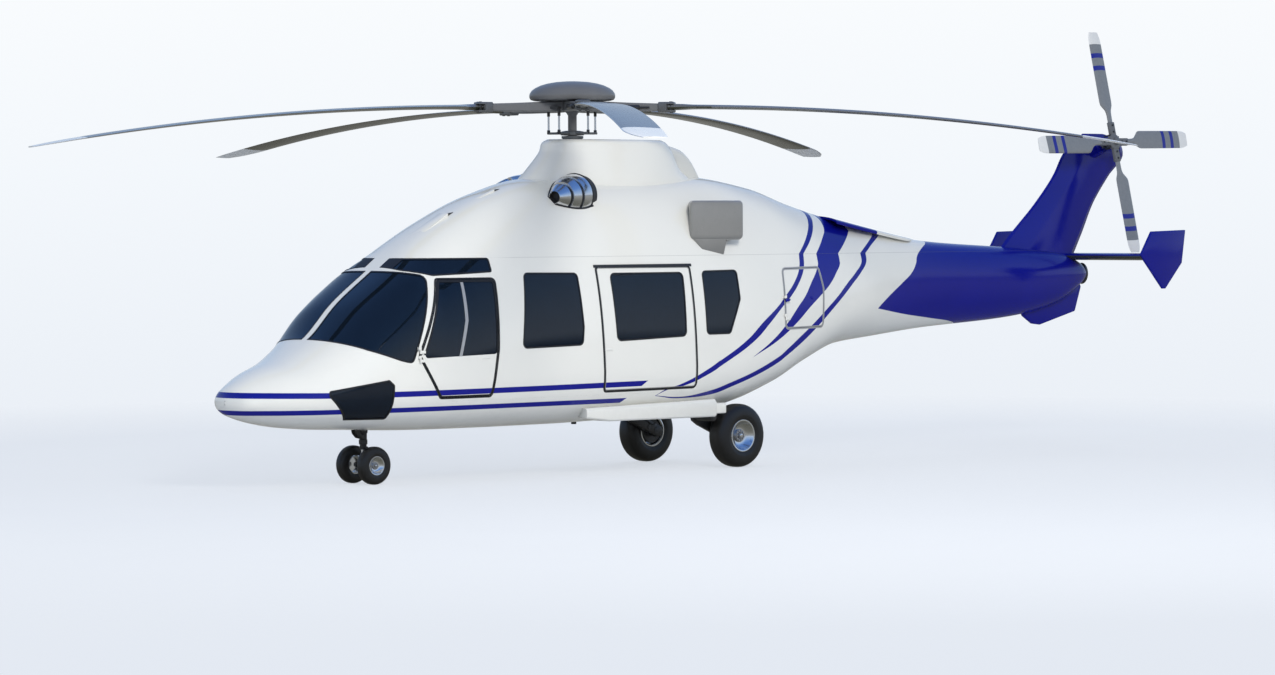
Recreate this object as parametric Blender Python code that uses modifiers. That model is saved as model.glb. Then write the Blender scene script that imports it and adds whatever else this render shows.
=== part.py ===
# A medium twin-engine transport helicopter, parked on its retractable wheeled undercarriage.
# Metres. +X is the nose, +Y is port, +Z is up. The origin is the cargo hook pad under the rotor mast.
# While it is modelled the ground is z = 0, and at the end everything is lowered by the pad's height.
import math

import bmesh
import bpy
from mathutils import Matrix, Vector

# Driving dimensions
PAD_HEIGHT = 0.600      # underside of the cargo hook pad above the ground
GAP = 0.0003            # between pieces that touch
WALL = 0.060            # cabin walls and doors
COWL_WALL = 0.040
BOOM_WALL = 0.030
GLASS_SET_BACK, GLASS = 0.004, 0.012
DOOR_GAP = 0.006        # round a hinged door
HINGE_HALF, HINGE_RADIUS = 0.045, 0.013
CREW_HINGE, HATCH_HINGE = (3.515, 1.130), (-2.918, 1.045)   # x and y of the vertical pin lines
DECK = 2.850            # seam between the cabin sides and the engine cowling
SILL = 1.060            # cabin floor
RING_SIDES = 28
GEARBOX_TOP = 3.600
BIG = 20.0

X_NOSE_REAR, X_FRAME_REAR, X_CABIN_REAR, X_BOOM = 3.020, 2.200, -2.400, -5.200
HOOD_X, HOOD_Z, HOOD_SLOPE = 4.440, 1.860, 0.366   # plane of the windshield's lower edge
PILLAR_X, PILLAR_SLOPE = 3.540, 0.315              # the windshield's rear edge

ROTOR_RADIUS, ROTOR_Z, BLADES, BLADE_AZIMUTH = 7.400, 4.853, 5, 54.66
TAIL_HUB, TAIL_RADIUS, TAIL_CANT, TAIL_PITCH = (-10.333, 0.450, 4.454), 1.680, 12.5, 0.85
TAIL_SHAFT = 0.222      # from the tail rotor's hub to its gearbox
MAST_RADIUS, MAST_BORE = 0.062, 0.100
LINK_RADIUS, LINK_CIRCLE = 0.016, 0.285
GRIP_END = 1.165        # where each blade starts, from the mast's axis
DROOP_START, DROOP_Z, DROOP = 1.300, 4.800, 0.545   # the blades sag by DROOP from there to their tips

NOSE_WHEEL = {"x": 3.542, "y": 0.213, "radius": 0.241, "width": 0.150, "rim": 0.127}
MAIN_WHEEL = {"x": -2.118, "y": 0.899, "radius": 0.426, "width": 0.300, "rim": 0.210}
NOSE_AXLE, MAIN_AXLE, AXLE_PLAY = 0.035, 0.045, 0.0005   # radii, and the clearance in their holes
NOSE_LEG_HALF_X, NOSE_LEG_HALF_Y = 0.130, 0.100
NOSE_CYLINDER_FOOT = 0.500

# Hull sections: x, half width, keel z, widest z, top z, exponent below, exponent above
STATIONS = (
    (5.690, 0.03, 1.060, 1.09, 1.130, 2.0, 2.0),
    (5.620, 0.29, 0.965, 1.09, 1.230, 2.0, 2.0),
    (5.450, 0.47, 0.875, 1.10, 1.370, 2.1, 2.0),
    (5.200, 0.66, 0.813, 1.12, 1.490, 2.2, 2.0),
    (4.900, 0.81, 0.762, 1.15, 1.600, 2.3, 2.0),
    (4.440, 0.94, 0.722, 1.20, 1.862, 2.4, 2.4),
    (4.000, 1.04, 0.705, 1.26, 2.284, 2.6, 3.0),
    (3.475, 1.11, 0.681, 1.34, 2.665, 2.8, 3.2),
    (3.000, 1.13, 0.669, 1.40, 3.000, 3.0, 2.5),
    (2.400, 1.15, 0.662, 1.46, 3.345, 3.0, 2.4),
    (1.600, 1.15, 0.659, 1.50, 3.683, 3.0, 2.4),
    (0.800, 1.15, 0.661, 1.50, 3.868, 3.0, 2.4),
    (-1.000, 1.15, 0.708, 1.50, 3.910, 3.0, 2.4),
    (-2.000, 1.12, 0.775, 1.55, 3.899, 2.9, 2.4),
    (-3.000, 1.02, 1.021, 1.75, 3.765, 2.7, 2.3),
    (-3.700, 0.91, 1.298, 1.95, 3.560, 2.5, 2.3),
    (-4.600, 0.75, 1.570, 2.20, 3.339, 2.3, 2.3),
    (-5.500, 0.61, 1.664, 2.40, 3.172, 2.2, 2.4),
    (-6.500, 0.50, 1.759, 2.45, 3.017, 2.2, 2.4),
    (-8.500, 0.36, 1.890, 2.45, 2.899, 2.2, 2.3),
    (-9.400, 0.27, 2.046, 2.47, 2.840, 2.2, 2.2),
    (-10.000, 0.16, 2.325, 2.49, 2.680, 2.0, 2.0),
    (-10.220, 0.03, 2.480, 2.50, 2.520, 2.0, 2.0),
)

# Openings of the port side, as outlines in x and z, with their corner radius
WINDOW_FRONT = ((1.75, 2.650), (0.80, 2.640), (0.84, 1.720), (1.87, 1.690), 0.070)
WINDOW_REAR = ((-1.37, 2.645), (-2.02, 2.650), (-2.03, 2.260), (-1.80, 1.815), (-1.38, 1.800), 0.060)
CABIN_DOOR = ((0.52, 2.715), (-1.14, 2.715), (-1.14, 1.105), (0.52, 1.105), 0.050)
CABIN_DOOR_WINDOW = ((0.29, 2.620), (-1.02, 2.625), (-0.96, 1.790), (0.26, 1.750), 0.070)
CREW_DOOR = ((3.22, 2.575), (2.20 + WALL, 2.575), (2.27, 1.700), (2.36, 1.112), (3.18, 1.112),
             (3.50, 1.620), 0.050)
CREW_WINDOW = ((3.15, 2.515), (2.33, 2.515), (2.34, 1.680), (3.40, 1.665), 0.050)
HATCH = ((-2.93, 2.665), (-3.57, 2.675), (-3.69, 1.850), (-2.93, 1.840), 0.060)
CHIN = ((4.62, 1.240), (3.95, 1.340), (3.88, 1.275), (3.93, 0.890), (4.42, 0.865), (4.68, 1.140), 0.020)

# Fin sections: z, leading edge x, trailing edge x, thickness
FIN = ((2.70, -8.10, -9.86, 0.24), (3.12, -8.57, -10.12, 0.20), (3.54, -9.07, -10.36, 0.17),
       (3.96, -9.48, -10.72, 0.15), (4.29, -9.71, -11.05, 0.14), (4.50, -10.00, -10.95, 0.12),
       (4.59, -10.14, -10.60, 0.10))
STABILIZER = {"lead": -9.670, "trail": -10.300, "z": 2.755, "span": 1.517, "thick": 0.105}
ENDPLATE_HALF, VENTRAL_HALF = 0.022, 0.035
# Outlines in x and z
ENDPLATE = ((-9.915, 3.125), (-10.680, 3.145), (-10.600, 2.660), (-10.230, 2.285), (-10.165, 2.285),
            (-9.675, 2.780))
VENTRAL = ((-8.70, 2.10), (-8.822, 1.880), (-9.008, 1.770), (-9.169, 1.752), (-9.940, 1.939),
           (-10.075, 2.300), (-10.0, 2.45))
# Mast fairing sections: z, centre x, half length, half width
FAIRING = ((3.60, -0.60, 1.75, 0.50), (3.86, -0.58, 1.45, 0.49), (3.98, -0.56, 1.29, 0.48),
           (4.22, -0.60, 1.10, 0.44), (4.35, -0.57, 1.01, 0.42), (4.385, -0.57, 0.94, 0.36))
# Hump behind the fairing: x, half width, top z
HUMP = ((-1.30, 0.16, 4.340), (-1.50, 0.16, 4.334), (-1.83, 0.14, 4.272), (-2.01, 0.14, 4.147),
        (-2.19, 0.13, 3.928), (-2.24, 0.13, 3.600))
# Overhanging tail plate of the cowling: x, half width, top z
TAIL_PLATE = ((-4.20, 0.60, 3.400), (-6.00, 0.36, 3.085), (-6.38, 0.12, 3.035))
TAIL_PLATE_THICK = 0.030
# Exhaust duct in plan: x, y
EXHAUST = ((-1.33, 0.45), (-1.33, 0.84), (-1.76, 1.15), (-2.04, 1.16), (-2.04, 0.45))
EXHAUST_LOW, EXHAUST_HIGH, EXHAUST_BEVEL = 3.050, 3.575, 0.050
INTAKE = {"x": 0.600, "y": 0.700, "z": 3.680, "radius": 0.190, "mouth": 0.240, "tail": 0.460}
# Sponson sections: x, inner y, outer y, low z, high z
SPONSON = ((0.78, 0.80, 1.15, 0.764, 0.891), (0.37, 0.70, 1.16, 0.714, 0.903),
           (-1.50, 0.60, 1.16, 0.706, 0.942))
SPONSON_STEP = {"x": -1.75, "inner": 0.70, "outer": 1.10, "low": 0.743, "high": 0.884}
# Main blade sections: radius, leading edge, trailing edge, thickness
BLADE = ((GRIP_END, 0.075, -0.075, 0.100), (1.36, 0.080, -0.080, 0.090), (1.62, 0.150, -0.290, 0.062),
         (2.60, 0.150, -0.320, 0.056), (4.20, 0.150, -0.320, 0.050), (5.80, 0.150, -0.320, 0.042),
         (6.85, 0.150, -0.320, 0.036), (7.20, 0.090, -0.320, 0.028), (ROTOR_RADIUS, -0.020, -0.310, 0.018))
# Tail blade sections: radius, leading edge, trailing edge, thickness
TAIL_BLADE = ((0.03, 0.045, -0.045, 0.045), (0.44, 0.050, -0.050, 0.040), (0.58, 0.165, -0.100, 0.032),
              (1.50, 0.165, -0.100, 0.024), (TAIL_RADIUS, 0.140, -0.060, 0.016))
# Rotor head, turned about the mast: radius, z, from the dome down to the gearbox
HEAD = ((0.0, 5.145), (0.22, 5.135), (0.42, 5.09), (0.53, 5.03), (0.555, 4.98), (0.54, 4.93), (0.44, 4.90),
        (0.20, 4.895), (0.20, 4.78), (MAST_RADIUS, 4.76), (MAST_RADIUS, 4.49), (0.15, 4.488), (0.15, 4.445),
        (MAST_RADIUS, 4.443), (MAST_RADIUS, GEARBOX_TOP + GAP), (0.0, GEARBOX_TOP + GAP))
CREW_SEAT_Y, CABIN_ROWS = (0.20, 0.70), (1.0, 0.0, -1.0, -1.95)

PAINT = ((0.86, 0.86, 0.83, 1), 0.18, 0.0)
BLUE = ((0.010, 0.012, 0.26, 1), 0.18, 0.0)
TINTED = ((0.012, 0.022, 0.035, 1), 0.05, 0.0)
GREY = ((0.20, 0.21, 0.22, 1), 0.45, 0.0)
BLACK = ((0.012, 0.012, 0.013, 1), 0.40, 0.0)
TYRE = ((0.010, 0.010, 0.011, 1), 0.75, 0.0)
CHROME = ((0.75, 0.76, 0.78, 1), 0.12, 1.0)
CLOTH = ((0.06, 0.065, 0.075, 1), 0.85, 0.0)
STEEL = ((0.35, 0.35, 0.36, 1), 0.40, 1.0)


def clear_scene():
    for old in list(bpy.data.objects):
        bpy.data.objects.remove(old, do_unlink=True)


def collection(name):
    made = bpy.data.collections.new(name)
    bpy.context.scene.collection.children.link(made)
    return made


clear_scene()
PARTS = collection("helicopter")
CUTTERS = collection("cutters")


def finish_of(name, finish):
    colour, roughness, metallic = finish
    material = bpy.data.materials.new(name)
    material.use_nodes = True
    shader = material.node_tree.nodes["Principled BSDF"]
    shader.inputs["Base Color"].default_value = colour
    shader.inputs["Roughness"].default_value = roughness
    shader.inputs["Metallic"].default_value = metallic
    return material


def add(name, mesh, finish=None):
    """A part where it has a finish, and otherwise a cutter."""
    piece = bpy.data.objects.new(name, mesh)
    if finish is None:
        CUTTERS.objects.link(piece)
        piece.hide_render = True
        piece.display_type = "WIRE"
        return piece
    PARTS.objects.link(piece)
    mesh.materials.append(finish_of(name, finish))
    mesh.shade_smooth()
    mesh.set_sharp_from_angle(angle=math.radians(35))
    return piece


def boolean(piece, other, operation):
    modifier = piece.modifiers.new(other.name, "BOOLEAN")
    modifier.operation = operation
    modifier.object = other
    return piece


def cut(piece, *others):
    for other in others:
        boolean(piece, other, "DIFFERENCE")
    return piece


def keep(piece, *others):
    for other in others:
        boolean(piece, other, "INTERSECT")
    return piece


def fuse(piece, *others):
    for other in others:
        boolean(piece, other, "UNION")
    return piece


def mesh_of(name, build):
    """A mesh made by a function that fills a bmesh, with its faces turned outwards."""
    shape = bmesh.new()
    build(shape)
    bmesh.ops.recalc_face_normals(shape, faces=shape.faces)
    mesh = bpy.data.meshes.new(name)
    shape.to_mesh(mesh)
    shape.free()
    return mesh


def box(name, low, high, finish=None, bevel=0.0):
    middle = [(a + b) / 2 for a, b in zip(low, high)]
    size = [b - a for a, b in zip(low, high)]

    def build(shape):
        place = Matrix.Translation(middle) @ Matrix.Diagonal((*size, 1))
        bmesh.ops.create_cube(shape, size=1, matrix=place)
        if bevel:
            bmesh.ops.bevel(shape, geom=shape.edges[:], offset=bevel, segments=2, affect="EDGES", profile=0.5)

    return add(name, mesh_of(name, build), finish)


def drum(name, start, end, radius, finish=None, end_radius=None, sides=24):
    """A cylinder or cone between two points."""
    a, b = Vector(start), Vector(end)
    turn = (b - a).to_track_quat("Z", "Y").to_matrix().to_4x4()
    place = Matrix.Translation((a + b) / 2) @ turn

    def build(shape):
        bmesh.ops.create_cone(
            shape, cap_ends=True, segments=sides, radius1=radius,
            radius2=radius if end_radius is None else end_radius, depth=(b - a).length, matrix=place,
        )

    return add(name, mesh_of(name, build), finish)


def hull(name, points, finish=None):
    def build(shape):
        corners = [shape.verts.new(p) for p in points]
        bmesh.ops.convex_hull(shape, input=corners)

    return add(name, mesh_of(name, build), finish)


def tube_of_rings(name, rings, finish=None):
    """A closed loft through rings that have the same number of points."""

    def build(shape):
        loops = [[shape.verts.new(p) for p in ring] for ring in rings]
        for one, two in zip(loops, loops[1:]):
            for k in range(len(one)):
                n = (k + 1) % len(one)
                shape.faces.new((one[k], one[n], two[n], two[k]))
        shape.faces.new(loops[0][::-1])
        shape.faces.new(loops[-1])
        bmesh.ops.triangulate(shape, faces=shape.faces[:], quad_method="FIXED", ngon_method="EAR_CLIP")

    return add(name, mesh_of(name, build), finish)


def turned(name, profile, place, finish=None, steps=24):
    """A solid of revolution about local Z, from (radius, height) pairs that start and end on the axis."""

    def build(shape):
        points = [shape.verts.new((r, 0, z)) for r, z in profile]
        edges = [shape.edges.new(pair) for pair in zip(points, points[1:])]
        bmesh.ops.spin(
            shape, geom=points + edges, cent=(0, 0, 0), axis=(0, 0, 1), dvec=(0, 0, 0),
            angle=math.tau, steps=steps, use_merge=True,
        )
        bmesh.ops.remove_doubles(shape, verts=shape.verts[:], dist=0.0001)
        bmesh.ops.transform(shape, matrix=place, verts=shape.verts[:])

    return add(name, mesh_of(name, build), finish)


def rounded(outline, grow=0.0, arc=3):
    """A convex outline (points, then a corner radius) moved outwards by grow, with round corners."""
    *points, radius = outline
    corners = [Vector(p) for p in points]
    if sum(a.cross(b) for a, b in zip(corners, corners[1:] + corners[:1])) < 0:
        corners.reverse()
    count = len(corners)
    normals = []
    for k in range(count):
        along = (corners[(k + 1) % count] - corners[k]).normalized()
        normals.append(Vector((along.y, -along.x)))
    made = []
    for k, corner in enumerate(corners):
        before, after = normals[k - 1], normals[k]
        out = before + after
        out /= out.dot(before)
        centre = corner - out * radius
        start = math.atan2(before.y, before.x)
        sweep = (math.atan2(after.y, after.x) - start) % math.tau
        for step in range(arc + 1):
            angle = start + sweep * step / arc
            made.append(centre + (radius + grow) * Vector((math.cos(angle), math.sin(angle))))
    return made


def prism(name, outline, y_low, y_high, finish=None):
    """A flat outline in x and z, extruded along y."""
    return tube_of_rings(name, [[(p.x, y, p.y) for p in outline] for y in (y_low, y_high)], finish)


def section(x):
    """Half width, keel, widest height, top and the two exponents of the hull at x."""
    for one, two in zip(STATIONS, STATIONS[1:]):
        if x >= two[0]:
            share = (x - one[0]) / (two[0] - one[0])
            return [a + (b - a) * share for a, b in zip(one[1:], two[1:])]
    return list(STATIONS[-1][1:])


def power(value, exponent):
    return math.copysign(abs(value) ** exponent, value)


def ring(x, inset):
    half, keel, widest, top, low, high = section(x)
    points = []
    for k in range(RING_SIDES):
        angle = math.tau * (k + 0.5) / RING_SIDES
        side, rise = math.cos(angle), math.sin(angle)
        exponent = 2 / (high if rise > 0 else low)
        reach = (top - widest if rise > 0 else widest - keel) - inset
        points.append((x, (half - inset) * power(side, exponent), widest + reach * power(rise, exponent)))
    return points


def hull_loft(name, inset, finish=None, front=BIG, rear=-BIG):
    thin = max(inset, 0) + 0.02
    places = [s[0] for s in STATIONS if rear < s[0] < front and s[1] > thin]
    places += [x for x in (front, rear) if abs(x) < BIG]
    return tube_of_rings(name, [ring(x, inset) for x in sorted(places, reverse=True)], finish)


def region(name, outline, y_low=-BIG, y_high=BIG):
    """A block that keeps what lies inside an outline in x and z."""
    return prism(name, [Vector(p) for p in outline], y_low, y_high)


def rect(x_low, x_high, z_low, z_high):
    return ((x_low, z_low), (x_high, z_low), (x_high, z_high), (x_low, z_high))


def hood(x):
    return HOOD_Z + HOOD_SLOPE * (x - HOOD_X)


def pillar(z):
    """Where the windshield's rear edge stands at a height."""
    return PILLAR_X - PILLAR_SLOPE * (z - 1.77)


SIDES = (("left", 1), ("right", -1))
INNER = hull_loft("inner_hull", WALL)
OUTSIDE = hull_loft("outside_hull", -GAP)


def sided(name, outline, side, grow=0.0):
    """An opening's cutter through one wall, port or starboard."""
    low, high = (0.30, 2.0) if side > 0 else (-2.0, -0.30)
    return prism(name, rounded(outline, grow), low, high)


def windshield_block(name, side, grow):
    """The space between centre post, hood plane, header and door pillar on one side."""
    low_x = 3.60
    points = []
    for y in (0.040 - grow, 1.6):
        top = 2.635 - 0.075 * y
        for x, z in ((4.9, hood(4.9) + 0.02 - grow), (low_x - grow, hood(low_x) + 0.02 - grow),
                     (pillar(top) - grow, top + grow), (4.9, top + grow)):
            points.append((x, y * side, z))
    return hull(name, points)


def roof_window_block(name, side, grow):
    points = [(x, y * side, z) for x in (2.28 - grow, 3.9) for y in (0.32 - grow, 1.5)
              for z in (2.690 - grow, 2.838 + grow)]
    return hull(name, points)


GLASS_OUTER = hull_loft("glass_outer", GLASS_SET_BACK)
GLASS_INNER = hull_loft("glass_inner", GLASS_SET_BACK + GLASS)


def pane(name, block):
    glass = hull_loft(name, GLASS_SET_BACK, TINTED)
    return keep(cut(glass, GLASS_INNER), block)


def belly_and_nose():
    nose = hull_loft("nose_section", 0.0, PAINT)
    cut(nose, INNER)
    keep(nose, region("nose_region", ((5.9, hood(5.9) - GAP), (5.9, 0.3), (X_NOSE_REAR + GAP, 0.3),
                                      (X_NOSE_REAR + GAP, hood(X_NOSE_REAR) - GAP))))
    belly = hull_loft("belly_hull", 0.0, PAINT)
    keep(belly, region("belly_region", rect(X_CABIN_REAR + GAP, X_NOSE_REAR, 0.3, SILL - GAP)))
    fuse(belly, box("hook_pad", (-0.15, -0.15, PAD_HEIGHT), (0.15, 0.15, 0.80)))
    half_x, half_y = NOSE_LEG_HALF_X + GAP, NOSE_LEG_HALF_Y + GAP
    cut(nose, box("nose_leg_hole", (NOSE_WHEEL["x"] - half_x, -half_y, 0.5),
                  (NOSE_WHEEL["x"] + half_x, half_y, 1.0)))
    for name, side in SIDES:
        cut(nose, sided("chin_opening_" + name, CHIN, side),
            sided("crew_door_opening_" + name, CREW_DOOR, side))
        pane("chin_window_" + name, sided("chin_glass_" + name, CHIN, side, -GAP))
        well = drum("wheel_well_" + name, (MAIN_WHEEL["x"], 0.64 * side, MAIN_WHEEL["radius"]),
                    (MAIN_WHEEL["x"], 1.5 * side, MAIN_WHEEL["radius"]), MAIN_WHEEL["radius"] + 0.05)
        cut(belly, well)
    return belly


def cockpit():
    frame = hull_loft("cockpit_frame", 0.0, PAINT)
    cut(frame, INNER)
    keep(frame, region("cockpit_region", (
        (4.7, hood(4.7)), (X_NOSE_REAR, hood(X_NOSE_REAR)), (X_NOSE_REAR, SILL),
        (X_FRAME_REAR + GAP, SILL), (X_FRAME_REAR + GAP, DECK - GAP), (4.7, DECK - GAP))))
    for name, side in SIDES:
        cut(frame, windshield_block("windshield_opening_" + name, side, 0.0),
            roof_window_block("roof_window_opening_" + name, side, 0.0),
            bpy.data.objects["crew_door_opening_" + name])
        pane("windshield_" + name, windshield_block("windshield_edge_" + name, side, -GAP))
        pane("roof_window_" + name, roof_window_block("roof_window_edge_" + name, side, -GAP))


def cabin():
    for name, side in SIDES:
        wall = hull_loft("cabin_side_" + name, 0.0, PAINT)
        low, high = (0.0, BIG) if side > 0 else (-BIG, 0.0)
        cut(wall, INNER)
        keep(wall, region("cabin_side_region_" + name,
                          rect(X_CABIN_REAR + GAP, X_FRAME_REAR, SILL, DECK - GAP), low, high))
        for piece, outline in (("cabin_window_front", WINDOW_FRONT), ("cabin_window_rear", WINDOW_REAR)):
            cut(wall, sided(f"{piece}_opening_{name}", outline, side))
            pane(f"{piece}_{name}", sided(f"{piece}_edge_{name}", outline, side, -GAP))
        cut(wall, sided("cabin_door_opening_" + name, CABIN_DOOR, side))
    roof = hull_loft("cabin_roof", WALL + GAP, PAINT)
    keep(roof, region("roof_region", rect(X_CABIN_REAR + GAP, 3.1, DECK - 0.06, DECK - GAP)))


def door(name, outline, window, side, gap):
    """A door cut from the wall, with its own glass."""
    word = "left" if side > 0 else "right"
    full = f"{name}_{word}"
    leaf = hull_loft(full, 0.0, PAINT)
    cut(leaf, INNER)
    keep(leaf, sided(full + "_edge", outline, side, -gap))
    if window:
        cut(leaf, sided(full + "_window_opening", window, side))
        pane(f"{name}_glass_{word}", sided(full + "_glass_edge", window, side, -GAP))
    return leaf


def hinge(leaf, frame, pin, side, heights):
    """Knuckles on one vertical pin line: the lower half of each on the leaf, the upper on the frame."""
    x, y = pin
    for k, z in enumerate(heights):
        for piece, low, strap, foot in ((leaf, z - HINGE_HALF, (-0.080, 0.0), (-0.078, -0.060)),
                                        (frame, z + GAP, (0.0, 0.026), (0.006, 0.024))):
            name = f"{leaf.name}_knuckle_{k}_{piece.name}"
            high = low + HINGE_HALF
            fuse(piece, drum(name, (x, y * side, low), (x, y * side, high), HINGE_RADIUS, sides=12))
            for word, (x_low, x_high), (y_low, y_high), margin in (
                    ("strap", strap, (y - 0.020, y + 0.003), 0.004),
                    ("foot", foot, (y - 0.085, y - 0.005), 0.007)):
                y_low, y_high = sorted((y_low * side, y_high * side))
                fuse(piece, box(f"{name}_{word}", (x + x_low, y_low, low + margin),
                                (x + x_high, y_high, high - margin)))


def doors():
    for word, side in SIDES:
        crew = door("crew_door", CREW_DOOR, CREW_WINDOW, side, DOOR_GAP)
        hinge(crew, bpy.data.objects["cockpit_frame"], CREW_HINGE, side, (1.600, 1.710))
        door("cabin_door", CABIN_DOOR, CABIN_DOOR_WINDOW, side, GAP)
        hatch = door("baggage_hatch", HATCH, None, side, DOOR_GAP)
        hinge(hatch, bpy.data.objects["rear_fuselage"], HATCH_HINGE, side, (2.000, 2.250))


def rear_body():
    rear = hull_loft("rear_fuselage", 0.0, PAINT)
    bay = hull_loft("bay_hollow", WALL, front=X_CABIN_REAR - WALL, rear=X_BOOM - 0.5)
    keep(bay, region("bay_region", rect(X_BOOM - 0.4, X_CABIN_REAR, 0.5, DECK - WALL)))
    keep(rear, region("rear_region", rect(X_BOOM + GAP, X_CABIN_REAR, 0.3, DECK - GAP)))
    cut(rear, bay)
    for name, side in SIDES:
        cut(rear, sided("hatch_opening_" + name, HATCH, side))
    boom = hull_loft("tail_boom", 0.0, BLUE)
    keep(boom, region("boom_region", rect(-10.5, X_BOOM, 0.5, 4.0)))
    hollow = hull_loft("boom_hollow", BOOM_WALL, front=X_BOOM + 0.2, rear=-9.4)
    cut(boom, hollow)


def blade_ring(lead, trail, thick, at):
    """Eight points of a symmetric airfoil from leading to trailing edge, placed by a function."""
    chord = lead - trail
    shape = ((0.0, 0.0), (0.06, 0.62), (0.30, 1.0), (0.70, 0.55), (1.0, 0.06))
    upper = [(lead - chord * c, thick / 2 * t) for c, t in shape]
    lower = [(lead - chord * c, -thick / 2 * t) for c, t in shape[:0:-1]]
    return [at(x, t) for x, t in upper + lower]


def stabilizer_slot():
    half = STABILIZER["thick"] / 2 + GAP
    return box("stabilizer_slot", (-10.6, -0.9, STABILIZER["z"] - half),
               (STABILIZER["lead"] + GAP, 0.9, STABILIZER["z"] + half))


def tail_surfaces():
    slot = stabilizer_slot()
    cut(bpy.data.objects["tail_boom"], slot)
    fin = tube_of_rings("tail_fin", [
        blade_ring(lead, trail, thick, lambda x, t, z=z: (x, t, z)) for z, lead, trail, thick in FIN], BLUE)
    cut(fin, OUTSIDE, slot)
    axle = Vector((0, math.cos(math.radians(TAIL_CANT)), math.sin(math.radians(TAIL_CANT))))
    hub = Vector(TAIL_HUB)
    fuse(fin, drum("tail_gearbox", hub - axle * 0.56, hub - axle * (TAIL_SHAFT + GAP), 0.16,
                   end_radius=0.11, sides=16))
    span = STABILIZER["span"]
    stabilizer = tube_of_rings("stabilizer", [
        blade_ring(STABILIZER["lead"], STABILIZER["trail"], STABILIZER["thick"],
                   lambda x, t, y=y: (x, y, STABILIZER["z"] + t)) for y in (-span, span)], BLUE)
    for name, side in SIDES:
        fuse(stabilizer, region("endplate_" + name, ENDPLATE, side * span - ENDPLATE_HALF,
                                side * span + ENDPLATE_HALF))
    ventral = prism("ventral_fin", [Vector(p) for p in VENTRAL], -VENTRAL_HALF, VENTRAL_HALF, BLUE)
    cut(ventral, OUTSIDE)


def oval_ring(x, half_x, half_y, z, sides=24):
    return [(x + half_x * math.cos(math.tau * k / sides), half_y * math.sin(math.tau * k / sides), z)
            for k in range(sides)]


def cowlings():
    inner = hull_loft("cowl_inner", COWL_WALL)
    cowl = hull_loft("engine_cowling", 0.0, PAINT)
    cut(cowl, inner)
    keep(cowl, region("cowl_region", rect(X_CABIN_REAR + GAP, 3.9, DECK, 5.0)))
    bore = drum("mast_bore", (0, 0, 3.3), (0, 0, 5.0), MAST_BORE)
    cut(cowl, bore)
    aft = hull_loft("aft_cowling", 0.0, PAINT)
    keep(aft, region("aft_region", rect(X_BOOM + GAP, X_CABIN_REAR, DECK, 5.0)))
    hollow = hull_loft("aft_hollow", COWL_WALL, front=X_CABIN_REAR + 0.5, rear=X_BOOM + 0.3)
    keep(hollow, region("aft_hollow_region", rect(X_BOOM, X_CABIN_REAR + 0.4, DECK - 0.1, 5.0)))
    cut(aft, hollow)
    plate = hull("tail_plate", [(x, y, z - down) for x, half, z in TAIL_PLATE for y in (-half, half)
                                for down in (0, TAIL_PLATE_THICK)])
    boom_space = hull_loft("boom_space", -GAP)
    keep(boom_space, region("boom_space_region", rect(-7.0, X_BOOM + GAP, 2.0, 5.0)))
    cut(plate, hollow, boom_space)
    fuse(aft, plate)
    return bore


def mast_fairing(bore):
    fairing = tube_of_rings("mast_fairing", [oval_ring(x, a, b, z) for z, x, a, b in FAIRING], PAINT)
    foot = FAIRING[0][0]
    hump = hull("fairing_hump", [(x, y, z) for x, half, z in HUMP for y in (-half, half)]
                + [(HUMP[0][0], y, foot) for y in (-HUMP[0][1], HUMP[0][1])])
    fuse(fairing, hump, drum("fixed_swashplate", (0, 0, 4.30), (0, 0, 4.435), 0.145))
    cut(fairing, OUTSIDE, bore)


def powerplant():
    block = box("powerplant", (-0.45, -0.38, DECK + GAP), (0.45, 0.38, GEARBOX_TOP), STEEL)
    for name, side in SIDES:
        low, high = sorted((0.14 * side, 0.62 * side))
        fuse(block, box("engine_" + name, (-2.0, low, DECK + 0.12), (-0.4, high, 3.42)))


def intakes_and_exhausts():
    for name, side in SIDES:
        egg = [(INTAKE["radius"] * math.cos(a), INTAKE["tail"] * math.sin(a))
               for a in (1.2, 0.8, 0.4, 0, -0.5)]
        place = Matrix.Translation((INTAKE["x"], INTAKE["y"] * side, INTAKE["z"]))
        place = place @ Matrix.Rotation(math.radians(-90), 4, "Y")
        profile = [(0.0, INTAKE["tail"]), *egg, (0.0, -INTAKE["mouth"])]
        cut(turned("intake_" + name, profile, place, CHROME), OUTSIDE)
        duct = hull("exhaust_" + name, [(x, y * side, z) for x, y in EXHAUST
                                        for z in (EXHAUST_LOW, EXHAUST_HIGH)], GREY)
        bevel = duct.modifiers.new("rounding", "BEVEL")
        bevel.width = EXHAUST_BEVEL
        bevel.segments = 2
        bevel.limit_method = "ANGLE"
        cut(duct, OUTSIDE)


def sponsons():
    step = SPONSON_STEP
    for name, side in SIDES:
        sponson = hull("sponson_" + name, [(x, y * side, z) for x, inner, outer, low, high in SPONSON
                                           for y in (inner, outer) for z in (low, high)], PAINT)
        near, far = sorted((step["inner"] * side, step["outer"] * side))
        fuse(sponson, box("sponson_step_" + name, (step["x"], near, step["low"]),
                          (SPONSON[-1][0] + 0.02, far, step["high"])))
        cut(sponson, OUTSIDE)


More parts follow.
